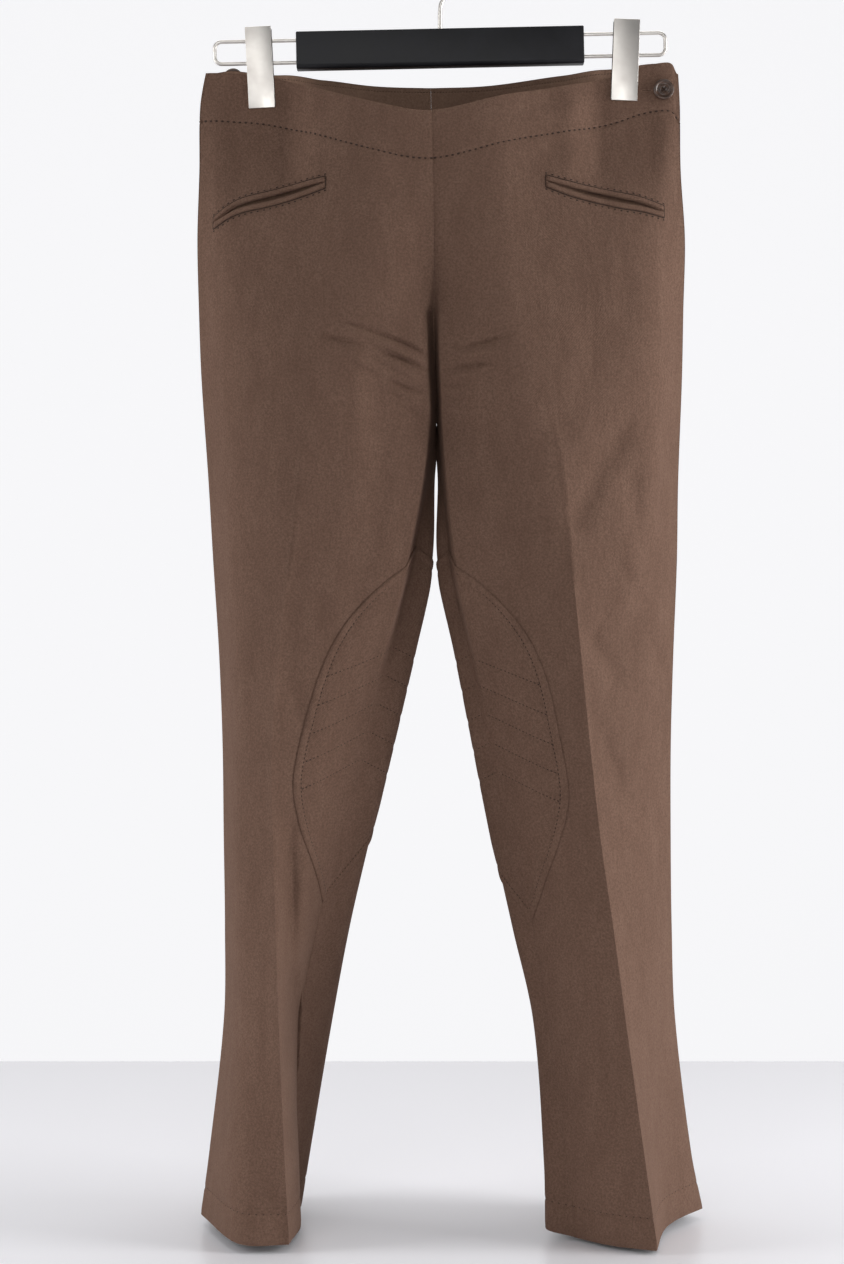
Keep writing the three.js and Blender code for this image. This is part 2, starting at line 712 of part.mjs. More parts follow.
// The hook and its stem, standing on the middle of the bar.
function hook() {
  const radius = HOOK_INSIDE + HOOK_WIRE;
  const centre = -HOOK_INSIDE;
  const foot = BAR_Z + BAR_HEIGHT / 2 + LAY_GAP + 0.1;
  const points = [new THREE.Vector3(0, 0, foot), new THREE.Vector3(0, 0, foot + STEM_HEIGHT)];
  points.push(new THREE.Vector3(STEM_BEND.x, 0, foot + STEM_BEND.height));
  for (let degrees = HOOK_ARC.from; degrees <= HOOK_ARC.to; degrees += HOOK_ARC.step) {
    const turn = (degrees * Math.PI) / 180;
    points.push(new THREE.Vector3(radius * Math.cos(turn), 0, centre + radius * Math.sin(turn)));
  }
  return wire(new THREE.CatmullRomCurve3(points, false, "centripetal"), HOOK_WIRE, 40, 6);
}

const WOOL = { color: 0x67503f, roughness: 0.95, metalness: 0 };
const WOOL_INSIDE = { color: 0x503f35, roughness: 0.95, metalness: 0 };
const HORN = { color: 0x3a2418, roughness: 0.35, metalness: 0 };
const BLACK = { color: 0x1c1c1f, roughness: 0.5, metalness: 0 };
const STEEL = { color: 0xb9b5b0, roughness: 0.35, metalness: 1 };

function build() {
  const group = new THREE.Group();
  const add = (name, made, finish) => group.add(mesh(name, made, finish));
  const grids = {};
  for (const side of ["right", "left"]) {
    for (const face of ["front", "back"]) grids[face + "_" + side] = panelGrid(side, face);
  }
  shareEdges(grids);
  Object.values(grids).forEach(drawIn);
  for (const side of ["right", "left"]) {
    add("front_" + side, frontPanel(grids, side), WOOL);
    add("back_" + side, sheet(grids["back_" + side], 0, -CLOTH), WOOL);
    add("back_facing_" + side, backFacing(grids, side), WOOL_INSIDE);
    add("knee_patch_" + side, kneePatch(grids, side), WOOL);
    add("pocket_upper_jet_" + side, pocketJet(grids, side, true), WOOL);
    add("pocket_lower_jet_" + side, pocketJet(grids, side, false), WOOL);
    add("pocket_facing_" + side, pocketFacing(grids, side), WOOL_INSIDE);
    add("clip_" + side, clip(side), STEEL);
    add("wire_loop_" + side, wireLoop(side), STEEL);
  }
  const along = alongAtX("left", FRONT_BUTTON.x, FRONT_BUTTON.z);
  add("front_button", layButton("left", "front", along, FRONT_BUTTON.z, FRONT_BUTTON.off), HORN);
  add("back_button", layButton("right", "back", BACK_BUTTON.along, BACK_BUTTON.z, BACK_BUTTON.off), HORN);
  add("hanger_bar", bar(), BLACK);
  add("hanger_hook", hook(), STEEL);
  return group;
}

const group = build();
export default group;
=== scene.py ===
"""Wool trousers hung by the waist from a clip hanger: cloth, stitches, metal and studio."""

import logging
import math
from collections.abc import Sequence
from dataclasses import dataclass, field
from enum import Enum

import bmesh
import bpy
import numpy as np
from mathutils import Matrix, Vector


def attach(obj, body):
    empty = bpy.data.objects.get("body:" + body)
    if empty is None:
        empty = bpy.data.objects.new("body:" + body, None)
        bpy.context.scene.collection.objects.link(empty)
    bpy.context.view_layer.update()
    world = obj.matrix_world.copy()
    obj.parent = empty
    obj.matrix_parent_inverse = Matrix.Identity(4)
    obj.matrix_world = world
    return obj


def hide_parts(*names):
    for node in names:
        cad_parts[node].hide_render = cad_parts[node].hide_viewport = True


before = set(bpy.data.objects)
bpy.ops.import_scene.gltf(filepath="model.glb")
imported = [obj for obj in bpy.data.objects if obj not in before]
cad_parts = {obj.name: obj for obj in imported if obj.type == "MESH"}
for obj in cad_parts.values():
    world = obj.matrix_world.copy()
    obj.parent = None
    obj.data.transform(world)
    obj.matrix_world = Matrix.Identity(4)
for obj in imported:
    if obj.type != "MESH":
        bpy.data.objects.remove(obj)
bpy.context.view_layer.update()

LOG = logging.getLogger("trousers")
MM = 0.001

Rows = Sequence[Sequence[float]]
Array = np.ndarray
Colour = tuple[float, float, float, float]
Sizes = tuple[float, float, float, float]


class Side(Enum):
    """The wearer's own sides."""

    RIGHT = "right"
    LEFT = "left"


class Face(Enum):
    """The front and the back of the garment."""

    FRONT = "front"
    BACK = "back"


def smooth(low: float, high: float, value: Array | float) -> Array:
    """Soft step from 0 to 1.

    Args:
        low: Value where the step starts.
        high: Value where it ends.
        value: Where to read it.

    Returns:
        The step's height at each value.
    """
    t = np.clip((np.asarray(value, float) - low) / (high - low), 0.0, 1.0)
    return t * t * (3.0 - 2.0 * t)


def dip(distance: Array | float, half: float) -> Array:
    """Bell-shaped fall-off, 1 at no distance and small beyond the half width."""
    return np.exp(-((np.asarray(distance, float) / half) ** 2))


def hermite(a: Array, b: Array, slope_a: Array, slope_b: Array, t: Array) -> Array:
    """Cubic between two values with a given slope at each end.

    Args:
        a: Value at the start.
        b: Value at the end.
        slope_a: Slope at the start, per unit of t.
        slope_b: Slope at the end, per unit of t.
        t: Share of the way, from 0 to 1.

    Returns:
        The value at t.
    """
    s = t * t
    c = s * t
    return a * (2 * c - 3 * s + 1) + slope_a * (c - 2 * s + t) + b * (3 * s - 2 * c) + slope_b * (c - s)


class Table:
    """A short table of sizes with named columns, read smoothly along its first column."""

    def __init__(self, names: str, rows: Rows) -> None:
        """Keep the rows by column.

        Args:
            names: The columns' names, with spaces between them.
            rows: One row for each section.
        """
        self.names = names.split()
        ordered = sorted(rows, key=lambda row: row[0])
        self.columns = {name: np.array(column, float)
                        for name, column in zip(self.names, zip(*ordered, strict=True), strict=True)}
        self.keys = self.columns[self.names[0]]

    def read(self, name: str, at: Array | float) -> Array:
        """Read one column, held level beyond both ends.

        Args:
            name: The column.
            at: Places along the first column.

        Returns:
            The smooth value at each place.
        """
        keys, values = self.keys, self.columns[name]
        last = len(keys) - 1
        place = np.clip(np.asarray(at, float), keys[0], keys[last])
        i = np.clip(np.searchsorted(keys, place, side="right") - 1, 0, last - 1)
        before, after = np.maximum(i - 1, 0), np.minimum(i + 2, last)
        step = keys[i + 1] - keys[i]
        slope_a = (values[i + 1] - values[before]) / (keys[i + 1] - keys[before])
        slope_b = (values[after] - values[i]) / (keys[after] - keys[i])
        return hermite(values[i], values[i + 1], slope_a * step, slope_b * step, (place - keys[i]) / step)


@dataclass(frozen=True)
class Fold:
    """A soft trough (depth over zero) or ridge of the cloth, from one end to the other, in millimetres."""

    x0: float
    z0: float
    x1: float
    z1: float
    half: float
    depth: float
    bow: float = 0.0
    taper: float = 0.8

    def push(self, x: Array, z: Array) -> Array:
        """How far the fold moves the cloth at each place.

        Args:
            x: Places across.
            z: Heights.

        Returns:
            The movement in millimetres, inwards where it is over zero.
        """
        ax, az = self.x1 - self.x0, self.z1 - self.z0
        length = math.hypot(ax, az)
        share = ((x - self.x0) * ax + (z - self.z0) * az) / (length * length)
        near = np.clip(share, 0.0, 1.0)
        lift = self.bow * 4 * near * (1 - near)
        off_x = x - self.x0 - ax * near + lift * az / length
        off_z = z - self.z0 - az * near - lift * ax / length
        fade = smooth(-0.1, 0.35, share) * smooth(1.1, 0.65, share)
        return self.depth * dip(np.hypot(off_x, off_z), self.half) * (1 - self.taper + self.taper * fade)


@dataclass
class Grid:
    """Rows and columns of points on the cloth with the directions out of it."""

    points: Array
    normals: Array

    def distances(self) -> Array:
        """Distance of each point from its row's start."""
        gone = np.linalg.norm(np.diff(self.points, axis=1), axis=-1)
        return np.concatenate([np.zeros((len(gone), 1)), np.cumsum(gone, axis=1)], axis=1)

    def offset(self, distance: Array | float) -> Array:
        """The points moved out by a distance."""
        shape = self.points.shape[:2]
        return self.points + self.normals * np.broadcast_to(distance, shape)[..., None]


CROTCH_Z = -420.0
HEM_Z = -1112.0
WAIST_Z = -115.0
LENGTH = WAIST_Z - HEM_Z
CLOTH = 1.3
FACING = 0.9
LAY_GAP = 0.3
SEAM_GAP = 0.03
PINCH_HALF = CLOTH + LAY_GAP + FACING / 2
WAIST_LINE = 42.0
HEM_LINE = LENGTH - 24.0

CLIP_X = {Side.RIGHT: -156.6, Side.LEFT: 161.3}

FRONT_NAMES = "z innerX innerY creaseX creaseY outerX outerY sideX sideY"
BACK_NAMES = "z innerX innerY creaseX creaseY outerX outerY"


@dataclass
class Cut:
    """The garment's form as tables of plan points by height, in millimetres."""

    hem_drop: dict[Side, float] = field(default_factory=lambda: {Side.RIGHT: 3.0, Side.LEFT: 6.0})
    centre: Table = field(default_factory=lambda: Table("z x frontY backY", [
        [-110, -8, -25, 60],
        [-200, -6, -32, 66],
        [-260, -5, -34, 70],
        [-330, -5, -26, 66],
        [-380, -4, -8, 48],
        [-405, -3, 4, 30],
        [CROTCH_Z, -3, 15, 15],
    ]))
    fronts: dict[Side, Table] = field(default_factory=lambda: {
        Side.RIGHT: Table(FRONT_NAMES, [
            [-110, -60, -22, -121, -8, -178, -6, -203, 0],
            [-145, -60, -28, -118, -11, -178, -8, -209, 1],
            [-200, -60, -35, -114, -21, -179, -13, -210, 3],
            [-260, -58, -43, -111, -33, -179, -21, -212, 5],
            [-320, -55, -49, -111, -45, -178, -27, -211, 8],
            [-380, -53, -50, -110, -55, -176, -30, -209, 10],
            [-470, -47, -46, -119, -58, -173, -31, -203, 12],
            [-540, -60, -44, -127, -58, -173, -32, -199, 13],
            [-620, -81, -40, -137, -57, -173, -32, -194, 14],
            [-700, -101, -37, -143, -56, -173, -31, -191, 15],
            [-780, -116, -36, -142, -56, -173, -30, -190, 15],
            [-860, -122, -38, -139, -62, -172, -32, -189, 16],
            [-940, -128, -38, -136, -70, -171, -35, -190, 18],
            [-1060, -122, -36, -130, -79, -173, -62, -203, 16],
            [HEM_Z, -120, -32, -127, -80, -171, -80, -210, 14],
        ]),
        Side.LEFT: Table(FRONT_NAMES, [
            [-110, 43, -22, 104, -10, 182, -6, 207, 0],
            [-145, 43, -28, 98, -14, 178, -8, 209, 1],
            [-200, 42, -35, 90, -25, 176, -13, 210, 3],
            [-260, 42, -43, 87, -36, 177, -21, 214, 5],
            [-320, 42, -49, 86, -46, 176, -27, 213, 8],
            [-380, 43, -50, 89, -54, 175, -30, 212, 10],
            [-470, 51, -46, 105, -56, 173, -28, 209, 13],
            [-540, 58, -44, 111, -56, 172, -24, 208, 14],
            [-620, 72, -42, 119, -56, 172, -20, 205, 15],
            [-700, 86, -41, 127, -55, 174, -17, 203, 17],
            [-780, 99, -41, 136, -55, 177, -15, 203, 18],
            [-860, 112, -45, 147, -62, 181, -17, 204, 19],
            [-940, 123, -51, 157, -72, 185, -20, 207, 20],
            [-1060, 136, -65, 173, -84, 192, -22, 222, 28],
            [HEM_Z, 144, -72, 180, -90, 196, -18, 233, 35],
        ]),
    })
    backs: dict[Side, Table] = field(default_factory=lambda: {
        Side.RIGHT: Table(BACK_NAMES, [
            [-110, -62, 52, -123, 14, -179, 8],
            [-200, -62, 70, -120, 58, -181, 32],
            [-260, -61, 80, -121, 72, -183, 42],
            [-330, -54, 86, -121, 80, -185, 46],
            [-380, -40, 80, -123, 82, -185, 48],
            [-420, -15, 60, -126, 82, -184, 48],
            [-470, -13.2, 34, -120, 80, -181, 50],
            [-540, -12.2, 15, -121, 78, -180, 50],
            [-620, -27, 15, -126, 76, -178, 50],
            [-780, -62, 25, -135, 74, -178, 50],
            [-860, -80, 38, -144, 84, -178, 54],
            [-940, -95, 54, -154, 95, -178, 58],
            [-1060, -116, 62, -162, 107, -188, 66],
            [HEM_Z, -125, 60, -162, 110, -195, 70],
        ]),
        Side.LEFT: Table(BACK_NAMES, [
            [-110, 45, 52, 114, 14, 175, 8],
            [-200, 50, 70, 108, 58, 181, 32],
            [-260, 52, 80, 108, 72, 185, 42],
            [-330, 43, 86, 111, 80, 185, 46],
            [-380, 31, 80, 113, 82, 185, 48],
            [-420, 9, 60, 114, 82, 185, 48],
            [-470, 8.3, 33, 118, 80, 184, 50],
            [-540, 5.2, 11, 120, 76, 183, 50],
            [-620, 20, 5, 122, 72, 182, 50],
            [-780, 49, 10, 133, 66, 186, 52],
            [-860, 66, 8, 143, 72, 188, 56],
            [-940, 84, 6, 152, 82, 193, 62],
            [-1060, 91, -14, 155, 72, 202, 70],
            [HEM_Z, 91, -24, 155, 66, 206, 72],
        ]),
    })
    inseams: dict[Side, Table] = field(default_factory=lambda: {
        Side.RIGHT: Table("z x y", [
            [CROTCH_Z, -3, 15],
            [-470, -10, 2],
            [-540, -24, -3],
            [-620, -45, -5],
            [-780, -88, -5],
            [-860, -107, 3],
            [-940, -122, 14],
            [-1060, -127, 28],
            [HEM_Z, -127, 32],
        ]),
        Side.LEFT: Table("z x y", [
            [CROTCH_Z, -3, 15],
            [-470, 1, -4],
            [-540, 9, -10],
            [-620, 27, -12],
            [-780, 63, -12],
            [-860, 81, -14],
            [-940, 93, -20],
            [-1060, 109, -37],
            [HEM_Z, 115, -45],
        ]),
    })
    waists: dict[Face, Table] = field(default_factory=lambda: {
        Face.FRONT: Table("x z", [
            [-204, -116], [-157, -118.5], [-128, -124.4], [-58, -146.3], [-8, -153.9], [62, -138.3],
            [149, -119], [176, -109.8], [194, -107.2], [203, -109], [208, -117],
        ]),
        Face.BACK: Table("x z", [
            [-204, -116], [-182, -114], [-145, -117.8], [-87, -115.2], [-8, -115.8], [44, -115],
            [150, -112.6], [176, -109], [194, -107.5], [203, -109], [208, -117],
        ]),
    })
    inner_fullness: float = 0.72
    seam_turn: dict[Side, float] = field(default_factory=lambda: {Side.RIGHT: 0.15, Side.LEFT: 0.08})
    main_folds: Sequence[Fold] = (
        Fold(-9, -330, -8, -425, 6, 9, 0, 0),
        Fold(147, -437, 115, -507, 13, 3.6, 0, 0),
        Fold(163, -475, 180, -540, 10, 2.6, 0, 0),
        Fold(185, -450, 165, -560, 12, -2.4, 0, 0),
        Fold(128, -610, 150, -640, 9, 3, 0, 0),
        Fold(135, -690, 152, -740, 10, 3, 0, 0),
    )
    shin_recesses: Sequence[Fold] = (
        Fold(-129, -770, -126, -950, 7.0, 11, 0, 0.7),
        Fold(-127, -900, -121, -1150, 5.0, 15, 2, 0.35),
    )
    front_creases: Sequence[Fold] = (
        # whiskers beside the crotch, right leg
        Fold(-88, -338, -58, -347, 1.8, 2.4, 1), Fold(-100, -349, -64, -359, 2.0, 2.9, -1),
        Fold(-62, -346, -8, -368, 1.9, 3.9, 2), Fold(-52, -364, -7, -380, 1.9, 3.7, 1),
        Fold(-46, -388, -8, -399, 1.9, 3.3, -1), Fold(-34, -410, -12, -419, 2.2, 2.4, 0),
        Fold(-78, -368, -44, -385, 3.6, -2.4, 0), Fold(-56, -356, -16, -373, 2.6, -2.8, 1),
        Fold(-44, -374, -12, -389, 2.6, -2.2, 0), Fold(-104, -352, -74, -366, 4.0, 2, 2),
        Fold(-38, -398, -10, -409, 3.0, -1.8, 0),
        # whiskers beside the crotch, left leg
        Fold(16, -360, 62, -349, 1.9, 3.1, -1), Fold(8, -377, 46, -373, 1.9, 2.9, 0),
        Fold(-1, -391, 22, -389, 2.3, 2.6, 0), Fold(12, -368, 56, -361, 2.8, -2, 0),
        Fold(4, -384, 34, -381, 2.6, -1.8, 0), Fold(6, -404, 26, -400, 3.0, 1.8, 0),
        # left leg: soft troughs and creases of the thigh
        Fold(128, -330, 120, -400, 12, 1.6, 4), Fold(90, -400, 112, -440, 9, 1.2, -3),
        Fold(138, -420, 104, -468, 6, 1.2, 3), Fold(170, -410, 150, -455, 9, 1.6, -3),
        Fold(186, -470, 196, -520, 7, 1.4, 2), Fold(150, -540, 176, -585, 7, 1.8, 3),
        Fold(186, -560, 160, -620, 8, 1.7, -4), Fold(144, -575, 126, -612, 5, 1.3, 2),
        Fold(174, -596, 194, -640, 6, 1.3, 2), Fold(152, -640, 136, -668, 5, 1.2, -2),
        Fold(170, -655, 186, -700, 8, 1.4, 3), Fold(140, -700, 158, -736, 5, 1.2, 2),
        Fold(182, -720, 166, -775, 9, 1.3, -4), Fold(150, -765, 164, -800, 6, 1.0, 2),
        Fold(190, -790, 178, -850, 9, 1.1, 3), Fold(158, -835, 172, -890, 8, 0.9, 2),
        Fold(166, -930, 176, -1000, 8, 0.8, 2), Fold(190, -960, 196, -1050, 9, 0.9, -3),
        Fold(66, -560, 84, -640, 10, 0.9, 3), Fold(100, -690, 110, -760, 8, 0.8, -2),
        Fold(112, -880, 128, -980, 10, 0.9, 3),
        # right leg: longer and softer
        Fold(-190, -300, -176, -400, 14, 1.4, 5), Fold(-150, -330, -136, -420, 12, 1.2, -5),
        Fold(-90, -430, -104, -520, 11, 1.3, 4), Fold(-170, -480, -156, -570, 9, 1.1, 3),
        Fold(-150, -600, -160, -690, 8, 1.2, -3), Fold(-186, -640, -176, -740, 9, 1.0, 3),
        Fold(-130, -640, -118, -700, 7, 1.0, 3), Fold(-160, -760, -152, -860, 8, 1.1, 2),
        Fold(-182, -860, -176, -950, 8, 0.9, -2), Fold(-146, -900, -154, -1000, 8, 1.0, 2),
        Fold(-118, -760, -110, -830, 6, 0.9, 2), Fold(-160, -1010, -150, -1080, 7, 0.9, -2),
        # drawn lines below the clips
        Fold(158, -150, 70, -196, 10, 2.2, 4), Fold(150, -132, 60, -166, 8, -1.6, 3),
        Fold(168, -160, 110, -215, 9, 1.4, 3), Fold(-152, -150, -96, -196, 10, 1.6, -4),
        Fold(-160, -165, -182, -240, 9, 1.2, 3), Fold(-70, -140, -30, -210, 9, 1.0, 3),
        # below the waist
        Fold(-30, -170, -44, -260, 12, 0.8, 3), Fold(30, -175, 46, -260, 12, 0.8, -3),
        Fold(-120, -250, -100, -330, 13, 0.9, -4), Fold(120, -250, 112, -320, 13, 0.9, 4),
        Fold(196, -250, 202, -330, 8, 0.9, 0), Fold(160, -290, 150, -350, 10, 1.0, 3),
    )
    back_creases: Sequence[Fold] = (
        Fold(-70, -330, -20, -352, 6, 2.0, 3), Fold(-86, -356, -26, -376, 7, 2.2, 3),
        Fold(-60, -388, -18, -404, 5, 1.6, 2), Fold(60, -326, 12, -350, 6, 2.0, -3),
        Fold(80, -352, 16, -378, 7, 2.2, -3), Fold(50, -386, 8, -402, 5, 1.6, -2),
        Fold(-120, -420, -60, -452, 9, 2.4, 5), Fold(118, -428, 58, -448, 9, 2.2, -5),
        Fold(-150, -250, -120, -330, 12, 1.6, 4), Fold(150, -240, 124, -330, 12, 1.6, -4),
        Fold(-150, -640, -110, -668, 8, 2.0, 4), Fold(-160, -680, -120, -700, 7, 1.8, -3),
        Fold(-156, -720, -124, -752, 8, 1.8, 3), Fold(150, -636, 108, -660, 8, 1.9, -4),
        Fold(162, -676, 124, -704, 7, 1.8, 3), Fold(166, -720, 130, -742, 8, 1.7, -3),
        Fold(-170, -840, -150, -930, 9, 1.3, 3), Fold(176, -850, 160, -940, 9, 1.3, -3),
        Fold(-176, -520, -166, -600, 9, 1.2, 3), Fold(176, -500, 168, -590, 9, 1.2, -3),
        Fold(-60, -200, -40, -280, 13, 1.0, 3), Fold(56, -206, 34, -290, 13, 1.0, -3),
    )

    def plan(self, side: Side, face: Face, z: Array) -> list[tuple[Array, Array]]:
        """Give the five plan points of a panel, from its inner edge to the side seam.

        Args:
            side: The leg.
            face: Front or back.
            z: Heights.

        Returns:
            Five pairs of x and y, one value for each height.
        """
        body = self.fronts[side] if face is Face.FRONT else self.backs[side]
        above = z >= CROTCH_Z
        inner_x = np.where(above, self.centre.read("x", z), self.inseams[side].read("x", z))
        inner_y = np.where(above, self.centre.read(face.value + "Y", z), self.inseams[side].read("y", z))
        points = [(inner_x, inner_y)]
        for name in ("inner", "crease", "outer"):
            points.append((body.read(name + "X", z), body.read(name + "Y", z)))
        front = self.fronts[side]
        points.append((front.read("sideX", z), front.read("sideY", z)))
        return points

    def curve(self, side: Side, face: Face, along: Array, z: Array) -> tuple[Array, Array]:
        """Follow a panel's plan curve, which is sharp at the crease below the thigh.

        Args:
            side: The leg.
            face: Front or back.
            along: Places from 0, the inner edge, to 4, the side seam.
            z: Heights.

        Returns:
            x and y at each place.
        """
        sharp = smooth(-380, -620, z) * (1.0 if face is Face.FRONT else 0.7)
        arc = np.clip(np.floor(along).astype(int), 0, 3)
        t = along - arc
        both = []
        for k in (0, 1):
            p = np.stack([point[k] for point in self.plan(side, face, z)])
            take = lambda i: np.take_along_axis(p, np.clip(i, 0, 4)[None, ...], 0)[0]
            a, b = take(arc), take(arc + 1)
            chord = b - a
            start = np.where(arc > 0, (b - take(arc - 1)) / 2, chord)
            end = np.where(arc < 3, (take(arc + 2) - a) / 2, chord)
            start = np.where(arc == 2, start + (chord - start) * sharp, start)
            end = np.where(arc == 1, end + (chord - end) * sharp, end)
            both.append(hermite(a, b, start, end, t))
        return both[0], both[1]

    def surface(self, side: Side, face: Face, along: Array, z: Array) -> Array:
        """Place points of the cloth's outer surface.

        Args:
            side: The leg.
            face: Front or back.
            along: Places from 0, the inner edge, to 4, the side seam.
            z: Heights.

        Returns:
            Points in millimetres, on the last axis.
        """
        along, z = np.broadcast_arrays(np.asarray(along, float), np.asarray(z, float))
        x, y = self.curve(side, face, along, z)
        free = np.maximum(smooth(0, 0.6, along), smooth(CROTCH_Z, CROTCH_Z + 60, z)) * smooth(4.0, 3.5, along)
        folds, inward = self.back_creases, -1.0
        if face is Face.FRONT:
            folds, inward = self.front_creases, 1.0
            y = y + sum(fold.push(x, z) for fold in self.main_folds) * free
            full = smooth(0.0, self.seam_turn[side], along) * smooth(1.4, 0.8, along)
            full = full * smooth(-290, -370, z) * smooth(-680, -560, z)
            y = y + (self.fronts[side].read("innerY", z) - y) * self.inner_fullness * full
        y = y + inward * sum(fold.push(x, z) for fold in folds) * free * smooth(0.0, 0.12, along)
        if face is Face.FRONT:
            inner_half = smooth(0, 0.3, along) * smooth(2, 1.7, along)
            y = y + sum(fold.push(x, z) for fold in self.shin_recesses) * inner_half
        y = y + self.ripple(x, z, face) * free * smooth(0.0, 0.4, along)
        y = y + self.press_line(side, face, along, z)
        near = 1 - smooth(20, 52, np.abs(x - CLIP_X[side]))
        held = near * smooth(-250, -158, z)
        jaw = -PINCH_HALF if face is Face.FRONT else PINCH_HALF
        y = y + (jaw - y) * held
        return np.stack([x, y, z], -1)

    def ripple(self, x: Array, z: Array, face: Face) -> Array:
        """Give the slight unevenness of worn cloth.

        Args:
            x: Places across.
            z: Heights.
            face: Front or back, which ripple differently.

        Returns:
            The movement in millimetres.
        """
        shift = 0.0 if face is Face.FRONT else 2.1
        wide = np.sin(x / 23.0 + 0.9 * np.sin(z / 71.0 + shift) + shift) * np.sin(z / 57.0 + x / 90.0)
        narrow = np.sin(x / 11.0 - z / 39.0 + 1.3 * np.sin(z / 31.0)) * np.sin(z / 19.0 + x / 27.0 + shift)
        return 0.55 * wide + 0.22 * narrow

    def press_line(self, side: Side, face: Face, along: Array, z: Array) -> Array:
        """Give the raised line that an iron pressed down the middle of a leg.

        Args:
            side: The leg.
            face: Front or back.
            along: Places along the plan.
            z: Heights.

        Returns:
            The movement in millimetres.
        """
        top = -370 if side is Side.LEFT else -410
        line = np.exp(-((along - 2.0) / 0.035) ** 2) * smooth(top, top - 60, z) * smooth(-760, -600, z)
        return line * (-0.6 if face is Face.FRONT else 0.6)

    def outward(self, side: Side, face: Face, along: Array, z: Array) -> Array:
        """Give the direction out of the cloth.

        Args:
            side: The leg.
            face: Front or back.
            along: Places along the plan.
            z: Heights.

        Returns:
            Unit directions, on the last axis.
        """
        along, z = np.broadcast_arrays(np.asarray(along, float), np.asarray(z, float))
        step, rise = 0.03, 1.5
        across = self.surface(side, face, np.minimum(4.0, along + step), z)
        across = across - self.surface(side, face, np.maximum(0.0, along - step), z)
        up = self.surface(side, face, along, z + rise) - self.surface(side, face, along, z - rise)
        normal = np.cross(across, up)
        normal /= np.linalg.norm(normal, axis=-1, keepdims=True)
        turned = (side is Side.LEFT) == (face is Face.FRONT)
        return normal if turned else -normal

    def grid(self, side: Side, face: Face, along: Array, z: Array) -> Grid:
        """Lay points of the cloth's outer surface with the directions out of it.

        Args:
            side: The leg.
            face: Front or back.
            along: Places along the plan.
            z: Heights.

        Returns:
            The points and directions.
        """
        return Grid(self.surface(side, face, along, z), self.outward(side, face, along, z))

    def height(self, side: Side, face: Face, along: Array | float, down: Array | float) -> Array:
        """Turn a distance below the waist edge into a height.

        Args:
            side: The leg.
            face: Front or back.
            along: Places along the plan.
            down: Distances below the waist edge, up to the garment's length at the hem.

        Returns:
            The height at each place.
        """
        along, down = np.broadcast_arrays(np.asarray(along, float), np.asarray(down, float))
        x, _ = self.curve(side, face, along, np.full(along.shape, -150.0))
        edge = self.waists[face].read("z", x)
        level = smooth(45, 150, down)
        drop = 1 - smooth(2.2, 4, along) if face is Face.FRONT else np.maximum(0.0, 1 - along)
        hem = self.hem_drop[side] * drop * smooth(LENGTH - 60, LENGTH, down)
        return (1 - level) * (edge - down) + level * (WAIST_Z - down) - hem

    def along_at_distance(self, side: Side, face: Face, distance: Array, z: Array) -> Array:
        """Find places at distances round the leg from the inner leg seam.

        Args:
            side: The leg.
            face: Front or back.
            distance: Distances, one row for each height.
            z: One height for each row.

        Returns:
            Places along the plan.
        """
        steps = np.linspace(0, 4, 161)
        points = self.surface(side, face, steps[None, :], z[:, None])
        gone = np.linalg.norm(np.diff(points, axis=1), axis=-1)
        total = np.concatenate([np.zeros((len(z), 1)), np.cumsum(gone, axis=1)], axis=1)
        return np.stack([np.interp(distance[i], total[i], steps) for i in range(len(z))])

    def along_at_x(self, side: Side, face: Face, x: Array, z: Array) -> Array:
        """Find places along the plan that reach an x.

        Args:
            side: The leg.
            face: Front or back.
            x: Places across.
            z: Heights of the same shape.

        Returns:
            Places along the plan.
        """
        count = 241
        steps = np.linspace(0.0, 4, count)
        flat_x, flat_z = np.ravel(x), np.ravel(z)
        wide = np.broadcast_to(steps, (flat_z.size, count))
        reached, _ = self.curve(side, face, wide, np.repeat(flat_z[:, None], count, 1))
        out = -1.0 if side is Side.RIGHT else 1.0
        rising = np.maximum.accumulate(reached * out, axis=1)
        found = [np.interp(flat_x[i] * out, rising[i], steps) for i in range(flat_z.size)]
        return np.reshape(found, np.shape(x))


def make_object(name: str, mesh: bpy.types.Mesh) -> bpy.types.Object:
    """Put a mesh in the scene as an object of that name."""
    made = bpy.data.objects.new(name, mesh)
    bpy.context.scene.collection.objects.link(made)
    return made


def mesh_of(name: str, vertices: Array, faces: list[list[int]], uv: Array | None = None) -> bpy.types.Object:
    """Make a smooth-shaded object from points in millimetres.

    Args:
        name: The object's name.
        vertices: Points in millimetres.
        faces: Lists of indices.
        uv: One place on the cloth for each point, in metres.

    Returns:
        The new object.
    """
    mesh = bpy.data.meshes.new(name)
    mesh.from_pydata((np.asarray(vertices) * MM).tolist(), [], faces)
    mesh.polygons.foreach_set("use_smooth", [True] * len(mesh.polygons))
    if uv is not None:
        layer = mesh.uv_layers.new(name="Cloth")
        index = np.empty(len(mesh.loops), np.int32)
        mesh.loops.foreach_get("vertex_index", index)
        layer.data.foreach_set("uv", np.asarray(uv, np.float32)[index].ravel())
    mesh.set_sharp_from_angle(angle=math.radians(55))
    return make_object(name, mesh)


